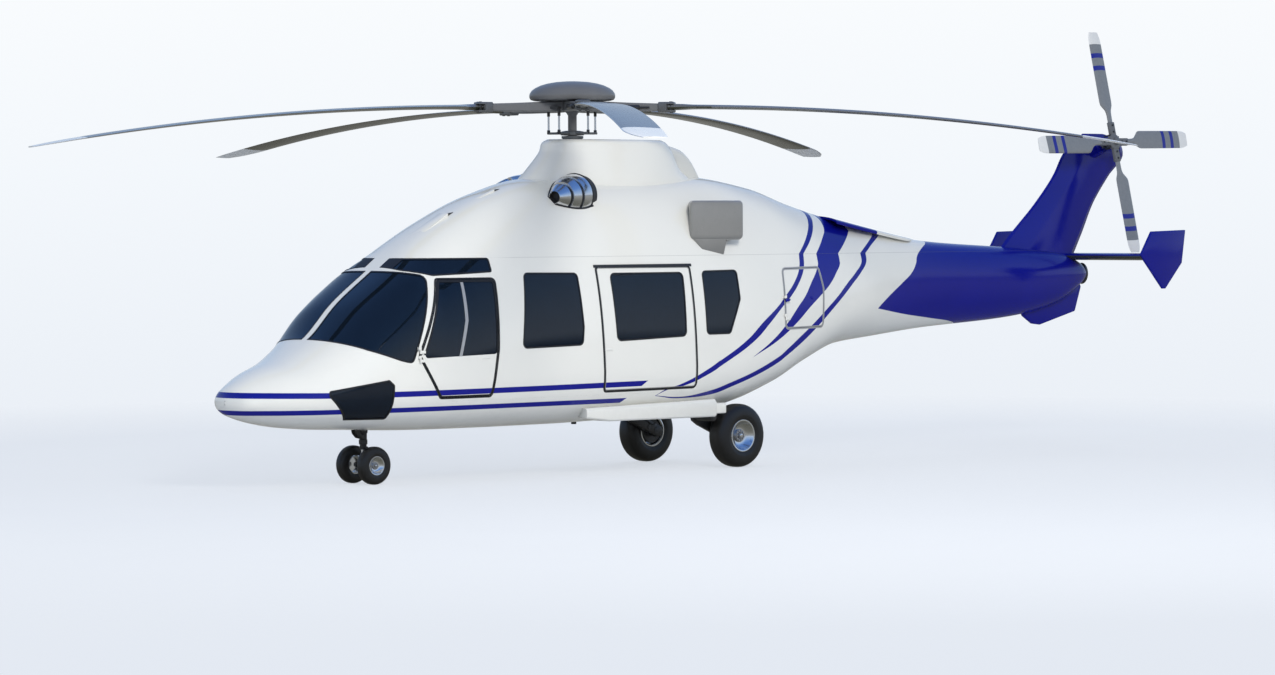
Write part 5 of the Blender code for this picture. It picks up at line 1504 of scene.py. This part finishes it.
STAB = {"lead": -9.670, "trail": -10.300, "height": 2.755, "half": 1.517, "thick": 0.105}
rings = []
for y in (-STAB["half"], -0.7, 0.7, STAB["half"]):
    rings.append([(place, y, STAB["height"] + rise)
                  for place, rise in aerofoil(STAB["lead"], STAB["trail"], STAB["thick"])])
stabilizer = smooth(grounded(lofted(rings)), 40)
settle(stabilizer, "stabilizer_skin", "airframe", "blue_paint", STABILIZER_PAINT, "stabilizer")
ENDPLATE = ((-9.915, 3.125), (-10.680, 3.145), (-10.600, 2.660), (-10.230, 2.285), (-10.165, 2.285),
            (-9.675, 2.780))
endplate = soften(prism(ENDPLATE, STAB["half"] - 0.022, STAB["half"] + 0.022), 0.014, 3, 0.8)
both(smooth(grounded(endplate)), "endplate", "blue_paint", BLUE)
VENTRAL = ((-8.70, 2.10), (-8.822, 1.880), (-9.008, 1.770), (-9.169, 1.752), (-9.940, 1.939),
           (-10.075, 2.300), (-10.0, 2.45))
ventral = soften(convex([(x, y, h) for x, h in VENTRAL for y in (-0.035, 0.035)]), 0.022, 4, 0.8)
settle(smooth(grounded(ventral)), "ventral_fin_skin", "airframe", "blue_paint", BLUE, "ventral_fin")
print("fins made")

# %% Tail rotor
TAIL_BANDS, TAIL_TIP_START = ((1.10, 1.17), (1.29, 1.36)), 1.50


def tail_paint():
    """Grey blades with two blue bands and a white tip, told apart by the distance from the hub."""
    material, place = new_finish("tail_blade_paint")
    offset = place.node("ShaderNodeVectorMath", {"operation": "DISTANCE"}, {0: place, 1: tuple(HUB_PLACE)},
                        out=1)
    grain = noise(place, 25.0, 4.0, 0.6)
    colour = grain.mix((0.17, 0.18, 0.19, 1), (0.24, 0.25, 0.26, 1))
    first, second = [between(offset, *band) for band in TAIL_BANDS]
    bands = first + second
    colour = bands.mix(colour, PAINT_BLUE)
    colour = (offset - TAIL_TIP_START).edge(0.006).mix(colour, (0.80, 0.80, 0.78, 1))
    return surface(material, place, Base_Color=colour, Roughness=grain * 0.12 + 0.28,
                   Coat_Weight=0.3, Coat_Roughness=0.1, Normal=bump(grain, 0.05, 0.001))


TAIL_PAINT = tail_paint()
TAIL_BLADE = ((0.10, 0.046, -0.046, 0.045), (0.40, 0.050, -0.050, 0.042), (0.46, 0.062, -0.054, 0.040),
              (0.58, 0.165, -0.100, 0.032), (0.62, 0.168, -0.102, 0.031), (1.50, 0.165, -0.100, 0.024),
              (1.58, 0.160, -0.092, 0.022), (1.68, 0.130, -0.060, 0.016))
TAIL_TURNS = [TO_HUB @ Matrix.Rotation(math.radians(90 * k + 0.85), 4, "Z") for k in range(4)]
blades, parts, pins = [], [], []
for turn in TAIL_TURNS:
    rings = [[(r, place, rise) for place, rise in aerofoil(lead, trail, thick, 11)]
             for r, lead, trail, thick in smooth_table(TAIL_BLADE, 46)]
    blades.append(put(lofted(rings), turn))
    parts.append(put(box((0.09, -0.054, -0.030), (0.30, 0.054, 0.030), bevel=0.010), turn))
    pins += [put(rod((r, 0, -0.040), (r, 0, 0.042), 0.015, sides=8), turn) for r in (0.15, 0.25)]
    pins.append(put(rod((0.105, 0.075, -0.10), (0.105, 0.075, 0.020), 0.010, sides=10), turn))
settle(smooth(join(*blades), 40), "tail_rotor_blades", "tail_rotor", "rotor_grey", TAIL_PAINT, "tail_rotor")
hub = spun(((0, 0.082), (0.030, 0.080), (0.050, 0.070), (0.056, 0.038), (0.100, 0.036), (0.114, 0.030),
            (0.120, 0.020), (0.120, -0.022), (0.112, -0.032), (0.050, -0.040), (0.046, -0.2215),
            (0, -0.2215)), 48)
settle(smooth(join(put(hub, TO_HUB), *parts)), "tail_rotor_hub", "tail_rotor", "rotor_grey", ROTOR_GREY)
spider = spun(((0, -0.155), (0.085, -0.155), (0.085, -0.130), (0, -0.130)), 32)
settle(smooth(join(put(spider, TO_HUB), *pins)), "tail_rotor_pins", "tail_rotor", "black_metal", BLACK_METAL)
print("tail rotor made")

# %% [markdown]
# ## Cockpit and cabin
# Only a trace of the inside shows through the dark panes, but an open door shows all of it. The
# panel has five screens under a hood, each pilot has a stick, a collective lever and pedals, and
# the seats are stuffed: their covers are blown up a little by a cloth simulation.

# %% Floor, lining, panel and controls
floor_pan = box((-2.36, -0.80, 1.062 + GROUND), (3.40, 0.80, 1.078 + GROUND), bevel=0.004)
carve(floor_pan, box((3.30, -2, 0), (3.5, 2, 1)))
settle(floor_pan, "cabin_floor_cover", "airframe", "black_plastic", CARPET)
# Side outlines, each with its half width and the rounding of its edges
FACE = ((3.50, 1.40), (3.56, 1.655), (3.80, 1.655), (3.80, 1.31), (3.54, 1.31))
GLARE_HOOD = ((3.42, 1.668), (3.44, 1.690), (3.60, 1.705), (3.82, 1.690), (3.82, 1.655), (3.60, 1.660),
              (3.46, 1.650))
CONSOLE = ((2.81, 1.065), (2.81, 1.37), (3.20, 1.40), (3.48, 1.48), (3.55, 1.48), (3.55, 1.065))
blocks = [soften(prism(outline, -half, half), width, steps, 0.3)
          for outline, half, width, steps in ((FACE, 0.72, 0.012, 3), (GLARE_HOOD, 0.74, 0.006, 2),
                                              (CONSOLE, 0.13, 0.014, 3))]
settle(smooth(grounded(join(*blocks))), "panel_and_console", "airframe", "black_plastic", BLACK_PLASTIC,
       "instrument_panel")
tilt = math.atan2(0.06, 0.255)
TO_PANEL = Matrix.Translation((3.528, 0, HORIZON + GROUND)) @ Matrix.Rotation(tilt, 4, "Y")
glow, bezels = [], []
for y in (-0.52, -0.28, 0.0, 0.28, 0.52):
    bezels.append(put(box((-0.012, y - 0.108, -0.085), (0.004, y + 0.108, 0.085), bevel=0.006), TO_PANEL))
    glow.append(put(box((-0.0145, y - 0.094, -0.070), (-0.004, y + 0.094, 0.070), bevel=0.003), TO_PANEL))
settle(smooth(join(*bezels)), "screen_bezels", "airframe", "black_plastic", BLACK_PLASTIC)
settle(smooth(join(*glow)), "screens", "airframe", "tinted_glass", SCREEN)
keys = []
for row in range(7):
    for column in range(5):
        x, y = 2.86 + 0.048 * row, -0.088 + 0.044 * column
        z = 1.372 + 0.0037 * row
        keys.append(box((x - 0.014, y - 0.015, z), (x + 0.014, y + 0.015, z + 0.014), bevel=0.003))
settle(smooth(grounded(join(*keys))), "console_keys", "airframe", "black_plastic", ROTOR_DARK)
STICK = ((2.98, 0.45, 1.08), (2.97, 0.45, 1.30), (2.93, 0.45, 1.46), (2.90, 0.45, 1.60))
sticks = []
for side in (1, -1):
    y, lever_y = side * 0.45, side * 0.165
    sticks += bent_bar(STICK, 14, 0.014, 12, side)
    sticks.append(rod((2.90, y, 1.585), (2.885, y, 1.700), 0.022, 0.019, bevel=0.006))
    sticks.append(rod((2.42, lever_y, 1.20), (2.80, lever_y, 1.42), 0.014))
    sticks.append(rod((2.72, lever_y, 1.374), (2.84, lever_y, 1.444), 0.021, bevel=0.006))
    for foot_y in (y - 0.10, y + 0.10):
        sticks.append(box((3.36, foot_y - 0.045, 1.12), (3.385, foot_y + 0.045, 1.25), bevel=0.006))
        sticks.append(rod((3.38, foot_y, 1.16), (3.52, foot_y, 1.10), 0.012))
settle(smooth(grounded(join(*sticks))), "flight_controls", "airframe", "black_metal", BLACK_METAL)
print("panel and controls made")

# %% Padded seats
PRESSURE, REST_FRAME, SEAM_WIDTH = 4.0, 20, 0.012


def stuffed(low, high, voxel, channels, cap):
    """A cushion: a rounded block whose cover is blown up by cloth, then sewn into channels.

    The channels are an axis, the places of the seams along it and how deep they pull. The cap is
    the furthest that the cover may move.
    """
    shape = box([v + 0.008 for v in low], [v - 0.008 for v in high], bevel=0.035, segments=4)
    modify(shape, "REMESH", mode="VOXEL", voxel_size=voxel)
    before = np.array([v.co for v in shape.data.vertices])
    alone(shape)
    cloth = shape.modifiers.new("Cloth", "CLOTH")
    cloth.settings.use_pressure = True
    cloth.settings.uniform_pressure_force = PRESSURE
    cloth.settings.effector_weights.gravity = 0
    cloth.point_cache.frame_start, cloth.point_cache.frame_end = 1, REST_FRAME
    for frame_number in range(1, REST_FRAME + 1):
        bpy.context.scene.frame_set(frame_number)
    bpy.ops.object.modifier_apply(modifier=cloth.name)
    bpy.context.scene.frame_set(1)
    after = np.array([v.co for v in shape.data.vertices])
    step = after - before
    size = np.linalg.norm(step, axis=1, keepdims=True)
    after = before + step * np.minimum(1, cap / np.maximum(size, 1e-9))
    axis, places, depth_of_seam = channels
    for place in places:
        after = after + sewn(before, after, axis, place, depth_of_seam)
    shape.data.vertices.foreach_set("co", after.ravel())
    shape.data.update()
    modify(shape, "SUBSURF", levels=1, render_levels=1)
    smooth(shape, 180)
    return shape


def sewn(before, after, axis, place, seam_depth):
    """How far each point is pulled toward the middle of the cushion by a seam."""
    near = np.exp(-((before[:, axis] - place) / SEAM_WIDTH) ** 2)[:, None]
    middle = after.mean(axis=0)
    pull = middle - after
    pull[:, axis] = 0
    return near * seam_depth * pull / np.maximum(np.linalg.norm(pull, axis=1, keepdims=True), 1e-9)


def lean(piece, x, height, degrees):
    """Tip a piece back about a line across the body, at a place along it and a height."""
    turn = Matrix.Translation((x, 0, height + GROUND)) @ Matrix.Rotation(math.radians(-degrees), 4, "Y")
    return put(piece, turn)


pad = stuffed((-0.24, -0.235, 0.0), (0.25, 0.235, 0.135), 0.012, (0, (-0.10, 0.06), 0.012), 0.014)
back = stuffed((-0.055, -0.225, 0.0), (0.055, 0.225, 0.62), 0.012, (2, (0.16, 0.34, 0.50), 0.010), 0.012)
rest = stuffed((-0.045, -0.14, 0.0), (0.045, 0.14, 0.15), 0.010, (2, (), 0), 0.010)
shells = [box((2.35, -0.78, 1.080 + GROUND), (2.80, 0.78, 1.155 + GROUND), bevel=0.02)]
for side in (1, -1):
    y = side * 0.45
    shells.append(box((2.36, y - 0.215, 1.155 + GROUND), (2.80, y + 0.215, 1.355 + GROUND), bevel=0.03))
    for part, word, x, height, turn in ((pad, "cushion", 2.585, 1.365, 0), (back, "back", 2.345, 1.49, -5),
                                        (rest, "headrest", 2.285, 2.165, -5)):
        seat_part = lean(copy_of(part), x, height, turn)
        put(seat_part, Matrix.Translation((0, y, 0)))
        settle(seat_part, f"crew_{word}_{'left' if side > 0 else 'right'}", "airframe", "seat_cloth", CLOTH)
    frame_back = box((-0.020, -0.22, -0.10), (0.012, 0.22, 0.80), bevel=0.012)
    shells.append(put(lean(frame_back, 2.275, 1.46, -5), Matrix.Translation((0, y, 0))))
settle(smooth(join(*shells)), "crew_seat_frames", "airframe", "black_plastic", BLACK_PLASTIC, "crew_seats")
for part in (pad, back, rest):
    bpy.data.objects.remove(part)

ROWS_OF_SEATS, SEAT_PLACES = (1.0, 0.0, -1.0, -1.95), (-0.56, 0.0, 0.56)
pad = stuffed((-0.20, -0.262, 0.0), (0.255, 0.262, 0.12), 0.020, (0, (0.02,), 0.010), 0.012)
back = stuffed((-0.050, -0.255, 0.0), (0.050, 0.255, 0.68), 0.023, (2, (0.22, 0.46), 0.010), 0.010)
BACK_PLACE = Matrix.Translation((-0.165, 0, 1.47)) @ Matrix.Rotation(math.radians(-4), 4, "Y")
pads, backs, shells = [], [], []
for x in ROWS_OF_SEATS:
    for y in SEAT_PLACES:
        place = Matrix.Translation((x, y, GROUND))
        pads.append(put(copy_of(pad), place @ Matrix.Translation((0, 0, 1.365))))
        backs.append(put(copy_of(back), place @ BACK_PLACE))
        shells.append(put(box((-0.20, -0.25, 1.13), (0.24, 0.25, 1.36), bevel=0.02), place))
    shells.append(box((x - 0.22, -0.80, 1.08 + GROUND), (x + 0.22, 0.80, 1.13 + GROUND), bevel=0.012))
for name, parts in (("cabin_cushions", pads), ("cabin_backs", backs)):
    cushions = settle(join(*parts), name, "airframe", "seat_cloth", CLOTH)
settle(smooth(join(*shells)), "cabin_seat_frames", "airframe", "black_plastic", BLACK_PLASTIC, "cabin_seats")
for part in (pad, back):
    bpy.data.objects.remove(part)
print("seats made")

# %% Finishes of the solids that still show
for name, finish in (("cabin_roof", LINING), ("powerplant", STEEL)):
    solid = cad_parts[name]
    solid.data.materials.clear()
    solid.data.materials.append(finish)
left = sorted(name for name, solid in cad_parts.items() if not solid.hide_render)
print("solids that still show:", left)

# %% [markdown]
# ## Studio floor and light
# A pale floor that fades into a pale backdrop, one large soft lamp high on the port side, a weaker
# one ahead and one behind. The floor is mostly clear to the camera, so that it blends with the
# backdrop, but it throws light up and takes soft shadows. The sky has three faces: the pale one
# that the camera sees, the even one that lights the model, and a deeper blue one over grey ground
# for reflections, because gloss paint, chrome and glass look flat with nothing to mirror.

# %% Floor, lamps and sky
FLOOR_CLEAR, FADE_START, FADE_WIDTH = 0.72, 11.5, 10.0


def pale_floor():
    """Mostly clear to the camera, so that floor and backdrop are one, but solid to the light."""
    material, place = new_finish("pale_studio_floor")
    far = (place.node("ShaderNodeVectorMath", {"operation": "LENGTH"}, {0: place}, out=1)
           - (FADE_START + FADE_WIDTH / 2)).edge(FADE_WIDTH)
    shader = place.node("ShaderNodeBsdfPrincipled", {}, {
        "Base Color": noise(place, 0.8).mix((0.74, 0.76, 0.80, 1), (0.78, 0.80, 0.84, 1)), "Roughness": 0.8})
    clear = place.node("ShaderNodeBsdfTransparent")
    camera_ray = place.node("ShaderNodeLightPath")
    hidden = camera_ray.mix(far, far.mix(FLOOR_CLEAR, 1.0, "FLOAT"), "FLOAT")
    blend = place.node("ShaderNodeMixShader", {}, {0: hidden, 1: shader, 2: clear})
    output = place.tree.nodes.new("ShaderNodeOutputMaterial")
    place.tree.links.new(blend.socket, output.inputs["Surface"])
    return material


bpy.ops.object.select_all(action="DESELECT")
bpy.ops.mesh.primitive_circle_add(vertices=64, radius=22, fill_type="NGON", location=(-2, 0, GROUND))
floor = bpy.context.object
floor.name = "studio_floor"
floor.data.materials.append(pale_floor())
floor.visible_glossy = False
floor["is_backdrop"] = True


def lamp(name, place, aim, size, power, colour=(1, 1, 1)):
    """A soft rectangular lamp that shines at a point and isn't mirrored."""
    bpy.ops.object.light_add(type="AREA", location=place)
    light = bpy.context.object
    light.name = name
    light.data.shape, light.data.size, light.data.size_y = "RECTANGLE", size[0], size[1]
    light.data.energy, light.data.color = power, colour
    light.rotation_euler = (Vector(aim) - Vector(place)).to_track_quat("-Z", "Y").to_euler()
    light.visible_glossy = False
    return light


lamp("key_lamp", (9, 21, 13), (-1, 0, 1), (6, 6), 3700, (1.0, 0.965, 0.91))
lamp("front_lamp", (24, 3, 7), (0, 0, 1), (8, 6), 300, (0.95, 0.97, 1.0))
lamp("rim_lamp", (-18, -10, 14), (-3, 0, 2), (8, 8), 700, (0.92, 0.95, 1.0))

bpy.context.scene.view_settings.view_transform = "Standard"
world = bpy.data.worlds.new("studio_sky")
bpy.context.scene.world = world
world.use_nodes = True
sky_tree = world.node_tree
sky_tree.nodes.clear()
direction = Wire(sky_tree, sky_tree.nodes.new("ShaderNodeTexCoord").outputs["Generated"])
rise = split(direction)[2]
seen = rise.node("ShaderNodeValToRGB", {"stops": (
    (0.0, (0.77, 0.815, 0.89, 1)), (0.45, (0.84, 0.88, 0.935, 1)), (0.75, (0.90, 0.935, 0.975, 1)),
    (1.0, (0.945, 0.968, 0.99, 1)))}, {0: rise.maths("MULTIPLY_ADD", rise, 5.8, 0.67, clamp=True)})
height_share = rise.maths("MULTIPLY_ADD", rise, 0.5, 0.5, clamp=True)
lit = rise.node("ShaderNodeValToRGB", {"stops": (
    (0.0, (0.30, 0.30, 0.29, 1)), (0.47, (0.34, 0.34, 0.34, 1)), (0.53, (0.46, 0.52, 0.62, 1)),
    (0.75, (0.50, 0.57, 0.69, 1)), (1.0, (0.62, 0.68, 0.77, 1)))},
    {0: height_share})
mirrored = rise.node("ShaderNodeValToRGB", {"stops": (
    (0.0, (0.12, 0.12, 0.10, 1)), (0.30, (0.18, 0.18, 0.16, 1)), (0.485, (0.36, 0.36, 0.34, 1)),
    (0.50, (0.08, 0.085, 0.09, 1)), (0.515, (0.62, 0.70, 0.80, 1)), (0.62, (0.36, 0.52, 0.78, 1)),
    (0.80, (0.12, 0.26, 0.62, 1)), (1.0, (0.08, 0.18, 0.48, 1)))}, {0: height_share})
ray = sky_tree.nodes.new("ShaderNodeLightPath")
camera_ray, mirror_ray = [Wire(sky_tree, ray.outputs[name]) for name in ("Is Camera Ray", "Is Glossy Ray")]
colour = camera_ray.mix(mirror_ray.mix(lit, mirrored), seen)
background = rise.node("ShaderNodeBackground", {}, {"Color": colour, "Strength": 1.0})
sky_output = sky_tree.nodes.new("ShaderNodeOutputWorld")
sky_tree.links.new(background.socket, sky_output.inputs["Surface"])
print("studio ready")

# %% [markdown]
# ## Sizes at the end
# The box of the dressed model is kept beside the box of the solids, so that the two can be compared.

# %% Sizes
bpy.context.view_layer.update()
for which, corners in (("solids", SOLID_BOX), ("dressed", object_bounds())):
    print(which, [round(v, 3) for corner in corners for v in corner])
